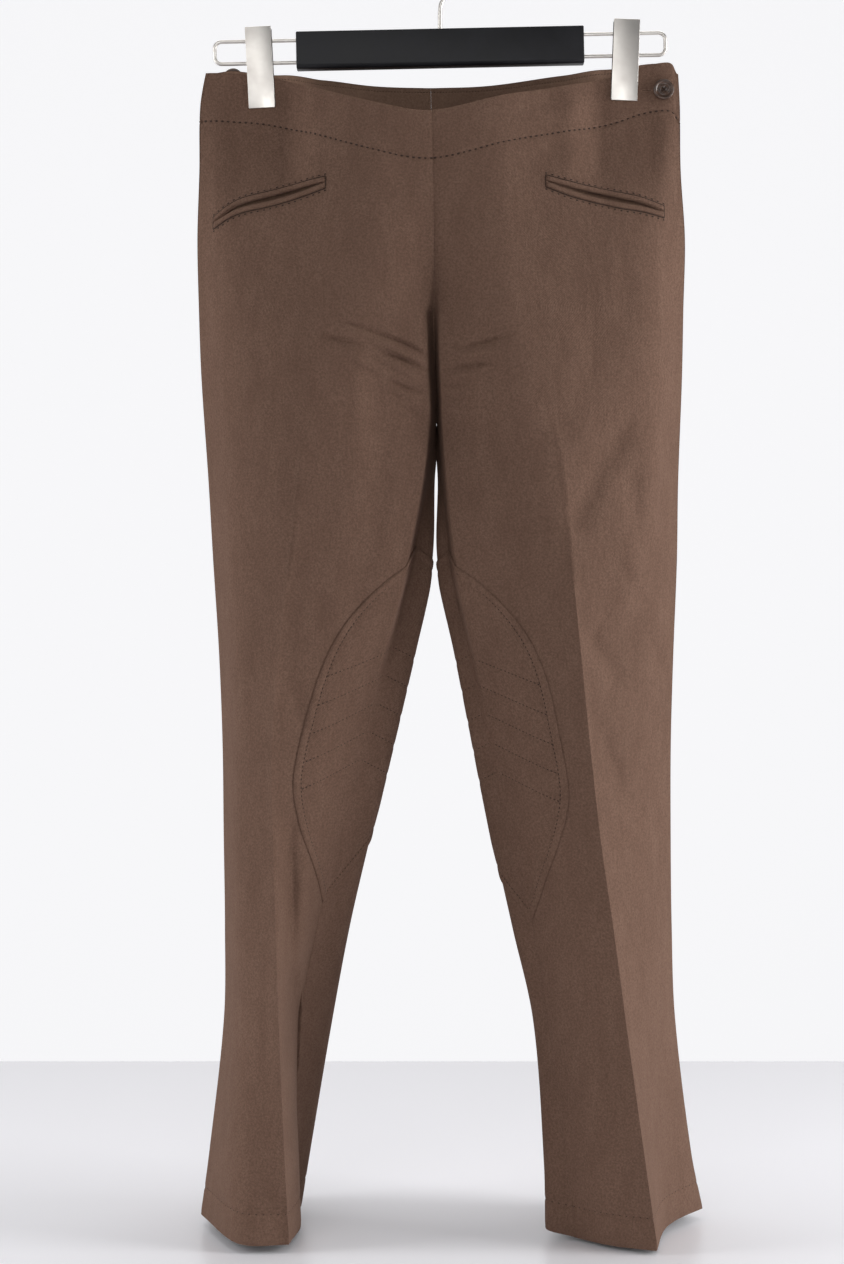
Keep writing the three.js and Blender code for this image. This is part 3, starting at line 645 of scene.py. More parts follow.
def closed_sheet(name: str, grid: Grid, outer: Array | float, inner: Array | float) -> bpy.types.Object:
    """Make a closed sheet between two distances from a grid.

    Args:
        name: The object's name.
        grid: The grid.
        outer: Distance of the side that shows.
        inner: Distance of the other side.

    Returns:
        The new object, with the cloth's own run as its UV.
    """
    rows, columns = grid.points.shape[:2]
    count = rows * columns
    vertices = np.concatenate([grid.offset(outer).reshape(-1, 3), grid.offset(inner).reshape(-1, 3)])
    index = np.arange(count).reshape(rows, columns)
    a, b, c, d = index[:-1, :-1], index[1:, :-1], index[1:, 1:], index[:-1, 1:]

    def wall(p: Array, q: Array) -> Array:
        """Join one edge of both sides."""
        return np.stack([q, p, p + count, q + count], -1).reshape(-1, 4)

    top = np.stack([a, b, c, d], -1).reshape(-1, 4)
    walls = [
        wall(index[:-1, 0], index[1:, 0]), wall(index[1:, -1], index[:-1, -1]),
        wall(index[0, 1:], index[0, :-1]), wall(index[-1, :-1], index[-1, 1:]),
    ]
    faces = np.concatenate([top, top[:, ::-1] + count, *walls])
    middle = top[len(top) // 2]
    corner = vertices[middle]
    facing = np.cross(corner[1] - corner[0], corner[2] - corner[0])
    if np.dot(facing, grid.normals.reshape(-1, 3)[middle[0]]) < 0:
        faces = faces[:, ::-1]
    run = np.stack([grid.distances(), grid.points[..., 2]], -1).reshape(-1, 2) * MM
    return mesh_of(name, vertices, faces.tolist(), np.concatenate([run, run]))


def freeze(target: bpy.types.Object) -> bpy.types.Object:
    """Turn an object's modifiers into its own plain mesh."""
    graph = bpy.context.evaluated_depsgraph_get()
    mesh = bpy.data.meshes.new_from_object(target.evaluated_get(graph))
    mesh.name = target.name
    target.modifiers.clear()
    target.data = mesh
    return target


def carve(target: bpy.types.Object, cutter: bpy.types.Object) -> None:
    """Cut one closed object out of another and drop the cutter."""
    modifier = target.modifiers.new("slot", "BOOLEAN")
    modifier.operation = "DIFFERENCE"
    modifier.solver = "EXACT"
    modifier.object = cutter
    freeze(target)
    bpy.data.objects.remove(cutter)


def srgb(red: float, green: float, blue: float) -> Colour:
    """Turn a screen colour of 0 to 255 into a linear one."""
    def linear(value: float) -> float:
        """Turn one channel linear."""
        share = value / 255
        return share / 12.92 if share <= 0.04045 else ((share + 0.055) / 1.055) ** 2.4
    return (linear(red), linear(green), linear(blue), 1.0)


class Shader:
    """The node tree of one material while it is made."""

    def __init__(self, name: str) -> None:
        """Start a material with a principled shader.

        Args:
            name: The material's name.
        """
        self.material = bpy.data.materials.new(name)
        self.material.use_nodes = True
        self.tree = self.material.node_tree
        self.tree.nodes.clear()
        self.body = self.tree.nodes.new("ShaderNodeBsdfPrincipled")
        output = self.tree.nodes.new("ShaderNodeOutputMaterial")
        self.tree.links.new(self.body.outputs[0], output.inputs[0])
        self.place = self.tree.nodes.new("ShaderNodeTexCoord").outputs["Object"]

    def set(self, **values: object) -> None:
        """Set the shader's own sockets, their names written with underscores."""
        for name, value in values.items():
            self.body.inputs[name.replace("_", " ")].default_value = value

    def stretch(self, source: bpy.types.NodeSocket, scale: tuple[float, float, float],
                turn: tuple[float, float, float] = (0, 0, 0)) -> bpy.types.NodeSocket:
        """Scale and turn coordinates.

        Args:
            source: The coordinates.
            scale: Their scale along each axis.
            turn: Their turn about each axis, in degrees.

        Returns:
            The new coordinates.
        """
        node = self.tree.nodes.new("ShaderNodeMapping")
        node.inputs["Scale"].default_value = scale
        node.inputs["Rotation"].default_value = tuple(math.radians(value) for value in turn)
        self.tree.links.new(source, node.inputs["Vector"])
        return node.outputs[0]

    def noise(self, source: bpy.types.NodeSocket, scale: float, detail: float = 2.0,
              rough: float = 0.5) -> bpy.types.NodeSocket:
        """Add a noise texture.

        Args:
            source: The coordinates.
            scale: Its scale.
            detail: How many finer layers it has.
            rough: How strong they are.

        Returns:
            Its factor.
        """
        node = self.tree.nodes.new("ShaderNodeTexNoise")
        node.inputs["Scale"].default_value = scale
        node.inputs["Detail"].default_value = detail
        node.inputs["Roughness"].default_value = rough
        self.tree.links.new(source, node.inputs["Vector"])
        return node.outputs["Fac"]

    def wave(self, source: bpy.types.NodeSocket, scale: float, distortion: float) -> bpy.types.NodeSocket:
        """Add diagonal waves.

        Args:
            source: The coordinates.
            scale: Their scale.
            distortion: How far they wander.

        Returns:
            Their factor.
        """
        node = self.tree.nodes.new("ShaderNodeTexWave")
        node.bands_direction = "DIAGONAL"
        node.inputs["Scale"].default_value = scale
        node.inputs["Distortion"].default_value = distortion
        node.inputs["Detail"].default_value = 1.0
        self.tree.links.new(source, node.inputs["Vector"])
        return node.outputs["Fac"]

    def levels(self, source: bpy.types.NodeSocket, low: float, high: float,
               start: float = 0.0, end: float = 1.0) -> bpy.types.NodeSocket:
        """Stretch a factor's range.

        Args:
            source: The factor.
            low: Value that becomes the start.
            high: Value that becomes the end.
            start: New lowest value.
            end: New highest value.

        Returns:
            The stretched factor.
        """
        node = self.tree.nodes.new("ShaderNodeMapRange")
        for name, value in (("From Min", low), ("From Max", high), ("To Min", start), ("To Max", end)):
            node.inputs[name].default_value = value
        self.tree.links.new(source, node.inputs["Value"])
        return node.outputs[0]

    def mix(self, factor: bpy.types.NodeSocket, first: Colour | bpy.types.NodeSocket,
            second: Colour | bpy.types.NodeSocket) -> bpy.types.NodeSocket:
        """Mix two colours.

        Args:
            factor: Share of the second.
            first: Colour or socket.
            second: Colour or socket.

        Returns:
            The mixed colour.
        """
        node = self.tree.nodes.new("ShaderNodeMix")
        node.data_type = "RGBA"
        self.tree.links.new(factor, node.inputs[0])
        for socket, value in ((node.inputs[6], first), (node.inputs[7], second)):
            if isinstance(value, tuple):
                socket.default_value = value
            else:
                self.tree.links.new(value, socket)
        return node.outputs[2]

    def bump(self, height: bpy.types.NodeSocket, distance: float, strength: float,
             under: bpy.types.NodeSocket | None = None) -> bpy.types.NodeSocket:
        """Turn a factor into relief.

        Args:
            height: The factor.
            distance: Its full height in metres.
            strength: Its strength.
            under: Relief that it is added to.

        Returns:
            The normal.
        """
        node = self.tree.nodes.new("ShaderNodeBump")
        node.inputs["Distance"].default_value = distance
        node.inputs["Strength"].default_value = strength
        self.tree.links.new(height, node.inputs["Height"])
        if under is not None:
            self.tree.links.new(under, node.inputs["Normal"])
        return node.outputs[0]

    def join(self, source: bpy.types.NodeSocket, name: str) -> None:
        """Link a socket to one of the shader's own."""
        self.tree.links.new(source, self.body.inputs[name])


@dataclass(frozen=True)
class WoolFinish:
    """Napped wool twill: cloudy colour, fine slanting ribs and a soft sheen."""

    name: str
    base: Colour
    light: Colour
    dark: Colour
    sheen: float = 0.28

    def make(self) -> bpy.types.Material:
        """Make the material."""
        shader = Shader(self.name)
        cloth = shader.tree.nodes.new("ShaderNodeUVMap")
        cloth.uv_map = "Cloth"
        streaks = shader.stretch(shader.place, (1.0, 1.0, 0.4), (0, 14, 0))
        cloud = shader.levels(shader.noise(shader.place, 9.0, 3.0, 0.6), 0.3, 0.7)
        mottle = shader.levels(shader.noise(streaks, 75.0, 3.0, 0.6), 0.35, 0.7)
        nap = shader.noise(shader.place, 560.0, 3.0, 0.7)
        twill = shader.wave(cloth.outputs[0], 430.0, 1.2)
        colour = shader.mix(shader.levels(cloud, 0, 1, 0.0, 0.22), self.base, self.dark)
        colour = shader.mix(shader.levels(mottle, 0, 1, 0.0, 0.26), colour, self.light)
        colour = shader.mix(shader.levels(nap, 0.36, 0.64, 0.0, 0.6), colour, self.dark)
        colour = shader.mix(shader.levels(twill, 0, 1, 0.0, 0.22), colour, self.dark)
        shader.join(colour, "Base Color")
        relief = shader.bump(mottle, 0.0012, 0.35)
        relief = shader.bump(nap, 0.0009, 0.6, relief)
        relief = shader.bump(twill, 0.0003, 0.45, relief)
        shader.join(relief, "Normal")
        shader.set(Roughness=0.92, Sheen_Weight=self.sheen, Sheen_Roughness=0.5, Sheen_Tint=self.light)
        shader.set(Specular_IOR_Level=0.15)
        return shader.material


@dataclass(frozen=True)
class ThreadFinish:
    """Sewing thread with the twist of its strands."""

    name: str
    base: Colour
    dark: Colour

    def make(self) -> bpy.types.Material:
        """Make the material."""
        shader = Shader(self.name)
        twist = shader.wave(shader.stretch(shader.place, (1, 1, 1), (0, 40, 0)), 900.0, 0.5)
        shader.join(shader.mix(twist, self.base, self.dark), "Base Color")
        shader.join(shader.bump(twist, 0.0001, 0.5), "Normal")
        shader.set(Roughness=0.8, Sheen_Weight=0.1, Specular_IOR_Level=0.2)
        return shader.material


@dataclass(frozen=True)
class HornFinish:
    """Polished horn with darker streaks."""

    name: str
    base: Colour
    dark: Colour

    def make(self) -> bpy.types.Material:
        """Make the material."""
        shader = Shader(self.name)
        streak = shader.noise(shader.stretch(shader.place, (1.0, 1.0, 3.5), (0, 30, 0)), 160.0, 4.0, 0.6)
        shader.join(shader.mix(shader.levels(streak, 0.35, 0.65), self.base, self.dark), "Base Color")
        shader.join(shader.levels(streak, 0.3, 0.7, 0.24, 0.4), "Roughness")
        shader.join(shader.bump(streak, 0.0001, 0.25), "Normal")
        shader.set(Coat_Weight=0.25, Coat_Roughness=0.2)
        return shader.material


@dataclass(frozen=True)
class SteelFinish:
    """Satin nickel-plated steel, finely brushed down its length."""

    name: str
    base: Colour
    worn: Colour
    roughness: tuple[float, float] = (0.3, 0.42)

    def make(self) -> bpy.types.Material:
        """Make the material."""
        shader = Shader(self.name)
        brushed = shader.noise(shader.stretch(shader.place, (1.0, 1.0, 0.06)), 1500.0, 2.0, 0.6)
        handled = shader.noise(shader.place, 45.0, 3.0, 0.6)
        shader.join(shader.mix(shader.levels(handled, 0.35, 0.75), self.base, self.worn), "Base Color")
        shader.join(shader.levels(handled, 0.3, 0.7, *self.roughness), "Roughness")
        shader.join(shader.bump(brushed, 0.00004, 0.3), "Normal")
        shader.set(Metallic=1.0)
        return shader.material


@dataclass(frozen=True)
class PlasticFinish:
    """Moulded plastic with a fine grain."""

    name: str
    base: Colour
    light: Colour

    def make(self) -> bpy.types.Material:
        """Make the material."""
        shader = Shader(self.name)
        grain = shader.noise(shader.place, 1400.0, 2.0, 0.5)
        rubbed = shader.levels(shader.noise(shader.place, 30.0, 3.0, 0.6), 0.4, 0.8)
        shader.join(shader.mix(rubbed, self.base, self.light), "Base Color")
        shader.join(shader.levels(rubbed, 0, 1, 0.42, 0.5), "Roughness")
        shader.join(shader.bump(grain, 0.00006, 0.4), "Normal")
        shader.set(Specular_IOR_Level=0.3)
        return shader.material


@dataclass(frozen=True)
class StudioFinish:
    """Pale painted surface of the studio."""

    name: str
    base: Colour
    roughness: float
    specular: float
    glow: float = 0.0

    def make(self) -> bpy.types.Material:
        """Make the material, which shines softly by itself where it has a glow."""
        shader = Shader(self.name)
        shader.set(Emission_Color=(0.985, 0.985, 1.0, 1.0), Emission_Strength=self.glow)
        shade = shader.levels(shader.noise(shader.place, 3.0, 2.0), 0.2, 0.8, 0.0, 0.06)
        darker = tuple(0.93 * value for value in self.base[:3]) + (1.0,)
        shader.join(shader.mix(shade, self.base, darker), "Base Color")
        shader.set(Roughness=self.roughness, Specular_IOR_Level=self.specular)
        return shader.material


@dataclass
class Finishes:
    """All the finishes, made once."""

    wool: bpy.types.Material = field(default_factory=lambda: WoolFinish(
        "wool", srgb(118, 92, 78), srgb(143, 115, 99), srgb(84, 63, 52)).make())
    # The inside cloth is the same wool as the outside, with its colours painted lighter: painted light that
    # brightens cloth lying in shade inside the garment.
    wool_inside: bpy.types.Material = field(default_factory=lambda: WoolFinish(
        "wool_inside", srgb(146, 117, 99), srgb(160, 131, 112), srgb(118, 92, 77), 0.25).make())
    # The thread is darker than the cloth: partly its own colour, partly painted shade of the dimples that the
    # pick stitches pull into the cloth.
    thread: bpy.types.Material = field(default_factory=lambda: ThreadFinish(
        "thread", srgb(64, 47, 38), srgb(46, 32, 25)).make())
    horn: bpy.types.Material = field(default_factory=lambda: HornFinish(
        "horn", srgb(86, 62, 48), srgb(52, 35, 26)).make())
    steel: bpy.types.Material = field(default_factory=lambda: SteelFinish(
        "steel", srgb(226, 222, 216), srgb(212, 206, 200)).make())
    dark_steel: bpy.types.Material = field(default_factory=lambda: SteelFinish(
        "dark_steel", srgb(96, 92, 90), srgb(74, 70, 68), (0.4, 0.5)).make())
    black_bar: bpy.types.Material = field(default_factory=lambda: PlasticFinish(
        "black_bar", srgb(20, 20, 23), srgb(30, 30, 34)).make())


def dress(piece: bpy.types.Object, finish: bpy.types.Material, slot: str, *nodes: str) -> None:
    """Give a piece its finish and its place in the frame.

    Args:
        piece: The piece.
        finish: Its material.
        slot: The material slot; not used.
        nodes: The nodes that it stands for.
    """
    piece.data.materials.clear()
    piece.data.materials.append(finish)
    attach(piece, "root")
    if nodes:
        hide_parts(*nodes)
    LOG.info("%s: %d faces", piece.name, len(piece.data.polygons))


class StitchTree:
    """Geometry nodes that lay stitches along the edges of a mesh."""

    def __init__(self) -> None:
        """Build the tree with its named inputs."""
        self.tree = bpy.data.node_groups.new("stitch_row", "GeometryNodeTree")
        sockets = self.tree.interface
        sockets.new_socket(name="Geometry", in_out="INPUT", socket_type="NodeSocketGeometry")
        sockets.new_socket(name="Geometry", in_out="OUTPUT", socket_type="NodeSocketGeometry")
        self.inputs = {
            name: sockets.new_socket(name=name, in_out="INPUT", socket_type=kind).identifier
            for name, kind in (
                ("Pitch", "NodeSocketFloat"), ("Length", "NodeSocketFloat"), ("Width", "NodeSocketFloat"),
                ("Height", "NodeSocketFloat"), ("Thread", "NodeSocketMaterial"))
        }
        add, link = self.tree.nodes.new, self.tree.links.new
        source, sink = add("NodeGroupInput"), add("NodeGroupOutput")
        curve, resample = add("GeometryNodeMeshToCurve"), add("GeometryNodeResampleCurve")
        resample.mode = "LENGTH"
        link(source.outputs["Geometry"], curve.inputs["Mesh"])
        link(curve.outputs[0], resample.inputs["Curve"])
        link(source.outputs["Pitch"], resample.inputs["Length"])
        ball, shape = add("GeometryNodeMeshUVSphere"), add("GeometryNodeTransform")
        ball.inputs["Segments"].default_value = 8
        ball.inputs["Rings"].default_value = 5
        ball.inputs["Radius"].default_value = 0.5
        size = add("ShaderNodeCombineXYZ")
        for axis, name in zip("XYZ", ("Length", "Width", "Height"), strict=True):
            link(source.outputs[name], size.inputs[axis])
        link(ball.outputs["Mesh"], shape.inputs["Geometry"])
        link(size.outputs[0], shape.inputs["Scale"])
        lie, lift = add("FunctionNodeAlignRotationToVector"), add("FunctionNodeAlignRotationToVector")
        lie.axis, lift.axis, lift.pivot_axis = "X", "Z", "X"
        up = add("GeometryNodeInputNamedAttribute")
        up.data_type = "FLOAT_VECTOR"
        up.inputs["Name"].default_value = "out"
        link(add("GeometryNodeInputTangent").outputs[0], lie.inputs["Vector"])
        link(lie.outputs[0], lift.inputs["Rotation"])
        link(up.outputs["Attribute"], lift.inputs["Vector"])
        uneven = add("FunctionNodeRandomValue")
        uneven.data_type = "FLOAT_VECTOR"
        uneven.inputs[0].default_value = (0.8, 0.85, 0.85)
        uneven.inputs[1].default_value = (1.15, 1.1, 1.1)
        uneven.inputs["Seed"].default_value = 7
        place = add("GeometryNodeInstanceOnPoints")
        link(resample.outputs[0], place.inputs["Points"])
        link(shape.outputs[0], place.inputs["Instance"])
        link(lift.outputs[0], place.inputs["Rotation"])
        link(uneven.outputs[0], place.inputs["Scale"])
        real, soft, paint = (add("GeometryNodeRealizeInstances"), add("GeometryNodeSetShadeSmooth"),
                             add("GeometryNodeSetMaterial"))
        link(place.outputs[0], real.inputs[0])
        link(real.outputs[0], soft.inputs[0])
        link(soft.outputs[0], paint.inputs["Geometry"])
        link(source.outputs["Thread"], paint.inputs["Material"])
        link(paint.outputs[0], sink.inputs[0])

    def lay(self, name: str, paths: list[tuple[Array, Array]], sizes: Sizes,
            thread: bpy.types.Material) -> bpy.types.Object:
        """Lay stitches along paths and return them as one plain mesh.

        Args:
            name: The object's name.
            paths: Points in millimetres and directions out of the cloth, for each row.
            sizes: Pitch, length, width and height of a stitch in millimetres.
            thread: The thread's finish.

        Returns:
            The stitches.
        """
        vertices, edges, out = [], [], []
        for points, normals in paths:
            start = len(vertices)
            vertices += (points * MM).tolist()
            out += normals.tolist()
            edges += [(start + i, start + i + 1) for i in range(len(points) - 1)]
        mesh = bpy.data.meshes.new(name)
        mesh.from_pydata(vertices, edges, [])
        directions = mesh.attributes.new("out", "FLOAT_VECTOR", "POINT")
        directions.data.foreach_set("vector", np.ravel(out).astype(np.float32))
        row = make_object(name, mesh)
        modifier = row.modifiers.new("stitches", "NODES")
        modifier.node_group = self.tree
        for key, value in zip(("Pitch", "Length", "Width", "Height"), sizes, strict=True):
            modifier[self.inputs[key]] = value * MM
        modifier[self.inputs["Thread"]] = thread
        return freeze(row)


def spaced(total: float, step: float, *zones: tuple[float, float, float]) -> Array:
    """Divide a length into steps that are finer in some zones.

    Args:
        total: The length.
        step: The usual step.
        zones: Start, end and step of each finer zone.

    Returns:
        The places, from 0 to the length.
    """
    places = [0.0]
    while places[-1] < total - step * 0.6:
        here = places[-1]
        inside = [fine for start, end, fine in zones if start <= here < end]
        ahead = min((start - here for start, _, _ in zones if start > here), default=step)
        places.append(here + (min(inside) if inside else min(step, max(ahead, step * 0.2))))
    places.append(total)
    return np.array(places)


@dataclass
class Panels:
    """The four panels: a front and a back for each leg, sewn at the centre, side and inner leg seams."""

    cut: Cut
    columns: Sequence[int] = (26, 26, 28, 18)
    row_step: float = 3.9
    seam_depth: float = 0.55
    seam_half: float = 1.7
    line_depth: float = 0.6
    line_half: float = 1.7
    closure_end: float = -236.0
    closure_inset: float = 6.0
    line_zone: tuple[float, float] = (4.0, 0.9)
    crotch_zone: tuple[float, float, float] = (208.0, 306.0, 1.6)
    crowding: float = 1.3
    flats: dict[str, tuple[float, float, float]] = field(default_factory=lambda: {
        "front_right": (0.262, 1.02, 0.205), "front_left": (0.262, 1.02, 0.205),
        "back_right": (0.27, 1.02, 0.23), "back_left": (0.27, 1.02, 0.23),
    })

    def grid(self, side: Side, face: Face) -> Grid:
        """Lay the rows and columns of one panel.

        Args:
            side: The leg.
            face: Front or back.

        Returns:
            The grid, with its seams and sewn lines pressed in.
        """
        along = [0.0]
        for arc, count in enumerate(self.columns):
            bend = self.crowding if arc == 0 else 1.0
            along += [arc + ((j + 1) / count) ** bend for j in range(count)]
        reach, step = self.line_zone
        fine = [(line - reach, line + reach, step) for line in (WAIST_LINE, HEM_LINE)]
        down = spaced(LENGTH, self.row_step, *fine, self.crotch_zone)
        wide, tall = np.meshgrid(np.array(along), down)
        z = self.cut.height(side, face, wide, tall)
        grid = self.cut.grid(side, face, wide, z)
        gone = grid.distances()
        rest = gone[:, -1:] - gone
        press = self.seam_depth * (dip(gone, self.seam_half) + dip(rest, self.seam_half))
        lines = dip(tall - WAIST_LINE, self.line_half) + dip(tall - HEM_LINE, self.line_half)
        press = press + self.line_depth * lines
        press = press + 0.5 * dip(tall, 0.8) + 0.35 * dip(LENGTH - tall, 0.9)
        if side is Side.LEFT:
            closure = dip(rest - self.closure_inset, 1.3) * smooth(self.closure_end, self.closure_end + 8, z)
            press = press + 0.7 * closure
        sunk = grid.normals * press[..., None]
        sunk[:, 0, 0] *= smooth(CROTCH_Z, CROTCH_Z - 14, z[:, 0])
        grid.points = grid.points - sunk
        return grid

    def share_edges(self, grids: dict[tuple[Side, Face], Grid]) -> None:
        """Give panels that meet the same direction along their seam, then draw the edges apart.

        Args:
            grids: The four grids.
        """
        def meet(pairs: Sequence[tuple[Side, Face]], column: int, rows: Array) -> None:
            """Average the directions of one column."""
            mean = sum(grids[pair].normals[rows, column] for pair in pairs)
            mean /= np.linalg.norm(mean, axis=-1, keepdims=True)
            for pair in pairs:
                grids[pair].normals[rows, column] = mean

        for side in Side:
            below = grids[side, Face.FRONT].points[:, 0, 2] < CROTCH_Z
            meet([(side, Face.FRONT), (side, Face.BACK)], 0, below)
            meet([(side, Face.FRONT), (side, Face.BACK)], -1, np.ones_like(below))
        for face in Face:
            above = grids[Side.RIGHT, face].points[:, 0, 2] >= CROTCH_Z
            meet([(Side.RIGHT, face), (Side.LEFT, face)], 0, above)
        for grid in grids.values():
            for column, beside in ((0, 1), (-1, -2)):
                step = grid.points[:, beside] - grid.points[:, column]
                step *= SEAM_GAP / np.linalg.norm(step, axis=-1, keepdims=True)
                grid.points[:, column] += step

    def build(self, finishes: Finishes, pockets: "Pockets") -> None:
        """Make and dress the four panels.

        Args:
            finishes: The finishes.
            pockets: The pockets, whose slots open the fronts.
        """
        grids = {(side, face): self.grid(side, face) for side in Side for face in Face}
        self.share_edges(grids)
        for (side, face), grid in grids.items():
            name = f"{face.value}_{side.value}"
            panel = closed_sheet(f"{name}_cloth", grid, 0.0, -CLOTH)
            if face is Face.FRONT:
                carve(panel, pockets.cutter(side))
            dress(panel, finishes.wool, "wool", name)


@dataclass
class Pockets:
    """A slanted pocket in each front: two narrow jets, the slot between them and the cloth behind it."""

    cut: Cut
    lines: dict[Side, Rows] = field(default_factory=lambda: {
        Side.RIGHT: [[-196, -248], [-174.5, -235.7], [-144.6, -228.4], [-117, -220.8], [-99, -216]],
        Side.LEFT: [[193.3, -238.5], [172, -233], [152, -229.7], [114, -221.8], [91, -215]],
    })
    jet_width: float = 4.6
    slot_end: float = 0.4
    slot_middle: float = 2.3
    steps: int = 72
    puff: float = 1.9
    bag_depth: float = 6.0
    seam_inset: float = 0.5
    pick_inset: float = 2.2
    seam_and_ditch_shade_sizes: Sizes = (1.0, 1.4, 0.8, 0.6)
    pick_sizes: Sizes = (5.4, 2.2, 1.3, 0.6)

    def band(self, side: Side, low: float, high: float, rows: int, shorter: float = 0.0,
             from_slot: bool = True) -> Grid:
        """Lay a grid that follows the slot.

        Args:
            side: The pocket.
            low: Distance below or above the slot's middle where it starts.
            high: Distance where it ends.
            rows: How many rows it has.
            shorter: How much shorter it is at each end.
            from_slot: Whether the distances count from the slot's edge.

        Returns:
            The grid, one row for each distance.
        """
        line = np.array(self.lines[side], float)
        share = np.linspace(0, 1, self.steps + 1)
        knots = np.linspace(0, 1, len(line))
        path = Table("share x z", np.column_stack([knots, line]).tolist())
        inwards = np.sign(line[-1, 0] - line[0, 0])
        x = path.read("x", share) - (share - 0.5) * 2 * shorter * inwards
        z = path.read("z", share)
        half = self.slot_end + (self.slot_middle - self.slot_end) * np.sin(np.pi * share)
        if from_slot and low * high < 0:
            heights = z[None, :] + np.linspace(-1, 1, rows)[:, None] * half
        else:
            edge = np.sign(low + high) * half if from_slot else np.zeros_like(half)
            heights = z[None, :] + np.linspace(low, high, rows)[:, None] + edge
        wide = np.repeat(x[None, :], rows, 0)
        along = self.cut.along_at_x(side, Face.FRONT, wide, heights)
        return self.cut.grid(side, Face.FRONT, along, heights)

    def cutter(self, side: Side) -> bpy.types.Object:
        """Make the closed piece that opens the slot."""
        return closed_sheet("slot_cutter", self.band(side, -1, 1, 5, 1.5), 5.0, -5.0)

    def jet(self, side: Side, above: bool) -> bpy.types.Object:
        """Make one rolled jet.

        Args:
            side: The pocket.
            above: Whether it lies above the slot.

        Returns:
            The jet.
        """
        rows = 9
        out = 1.0 if above else -1.0
        grid = self.band(side, 0.01 * out, self.jet_width * out, rows)
        share = np.linspace(0, 1, rows)[:, None]
        roll = np.sqrt(np.clip(1 - (2 * share - 1) ** 4, 0, 1))
        run = np.linspace(0, 1, self.steps + 1)
        ends = smooth(0, 0.02, run) * smooth(1, 0.98, run)
        puff = -0.1 + self.puff * roll * (0.35 + 0.65 * ends[None, :])
        name = f"pocket_{'upper' if above else 'lower'}_jet_{side.value}"
        return closed_sheet(f"{name}_cloth", grid, puff, -0.6)

    def beside(self, side: Side, inset: float, lift: float) -> list[tuple[Array, Array]]:
        """Follow the outer edges of both jets.

        Args:
            side: The pocket.
            inset: Distance outside the jets.
            lift: Distance off the cloth.

        Returns:
            Points and directions out of the cloth, for each edge.
        """
        rows = []
        for out in (-1.0, 1.0):
            reach = self.jet_width + inset
            grid = self.band(side, reach * out, (reach + 0.1) * out, 2)
            rows.append((grid.offset(lift)[0], grid.normals[0]))
        return rows

    def outline(self, side: Side) -> list[tuple[Array, Array]]:
        """Give the seam round both jets: their outer edges and the two ends.

        Args:
            side: The pocket.

        Returns:
            Points and directions out of the cloth, for each stretch.
        """
        # The close dark stitches of this seam are partly the seam and partly a painted shade line in the
        # ditch round the jets.
        rows = self.beside(side, self.seam_inset, 0.35)
        reach = self.jet_width + self.slot_end
        grid = self.band(side, -reach, reach, 9, -0.5, False)
        rows += [(grid.offset(0.15)[:, column], grid.normals[:, column]) for column in (0, -1)]
        return rows

    def build(self, finishes: Finishes, stitches: StitchTree) -> None:
        """Make and dress both pockets and their stitches.

        Args:
            finishes: The finishes.
            stitches: The stitch maker.
        """
        for side in Side:
            for above in (True, False):
                jet = self.jet(side, above)
                dress(jet, finishes.wool, "wool", jet.name.removesuffix("_cloth"))
            across = np.sin(np.pi * np.linspace(0, 1, 9))[:, None]
            bag = self.bag_depth * across * np.sin(np.pi * np.linspace(0, 1, self.steps + 1))[None, :]
            top = -CLOTH - LAY_GAP - bag
            # The pocket cloth behind the slot uses the same wool, painted lighter.
            facing = closed_sheet(f"pocket_facing_{side.value}_cloth",
                                  self.band(side, -11, 11, 9, 3, False), top, top - FACING)
            dress(facing, finishes.wool_inside, "wool_inside", f"pocket_facing_{side.value}")
            # Both rows use the dark thread: the pick stitches' darkness is partly painted dimple shade, and
            # the close seam row is partly a painted shade line.
            for name, rows, sizes in (
                    ("stitches", self.beside(side, self.pick_inset, 0.05), self.pick_sizes),
                    ("seam", self.outline(side), self.seam_and_ditch_shade_sizes)):
                sewn = stitches.lay(f"pocket_{name}_{side.value}", rows, sizes, finishes.thread)
                dress(sewn, finishes.thread, "wool")


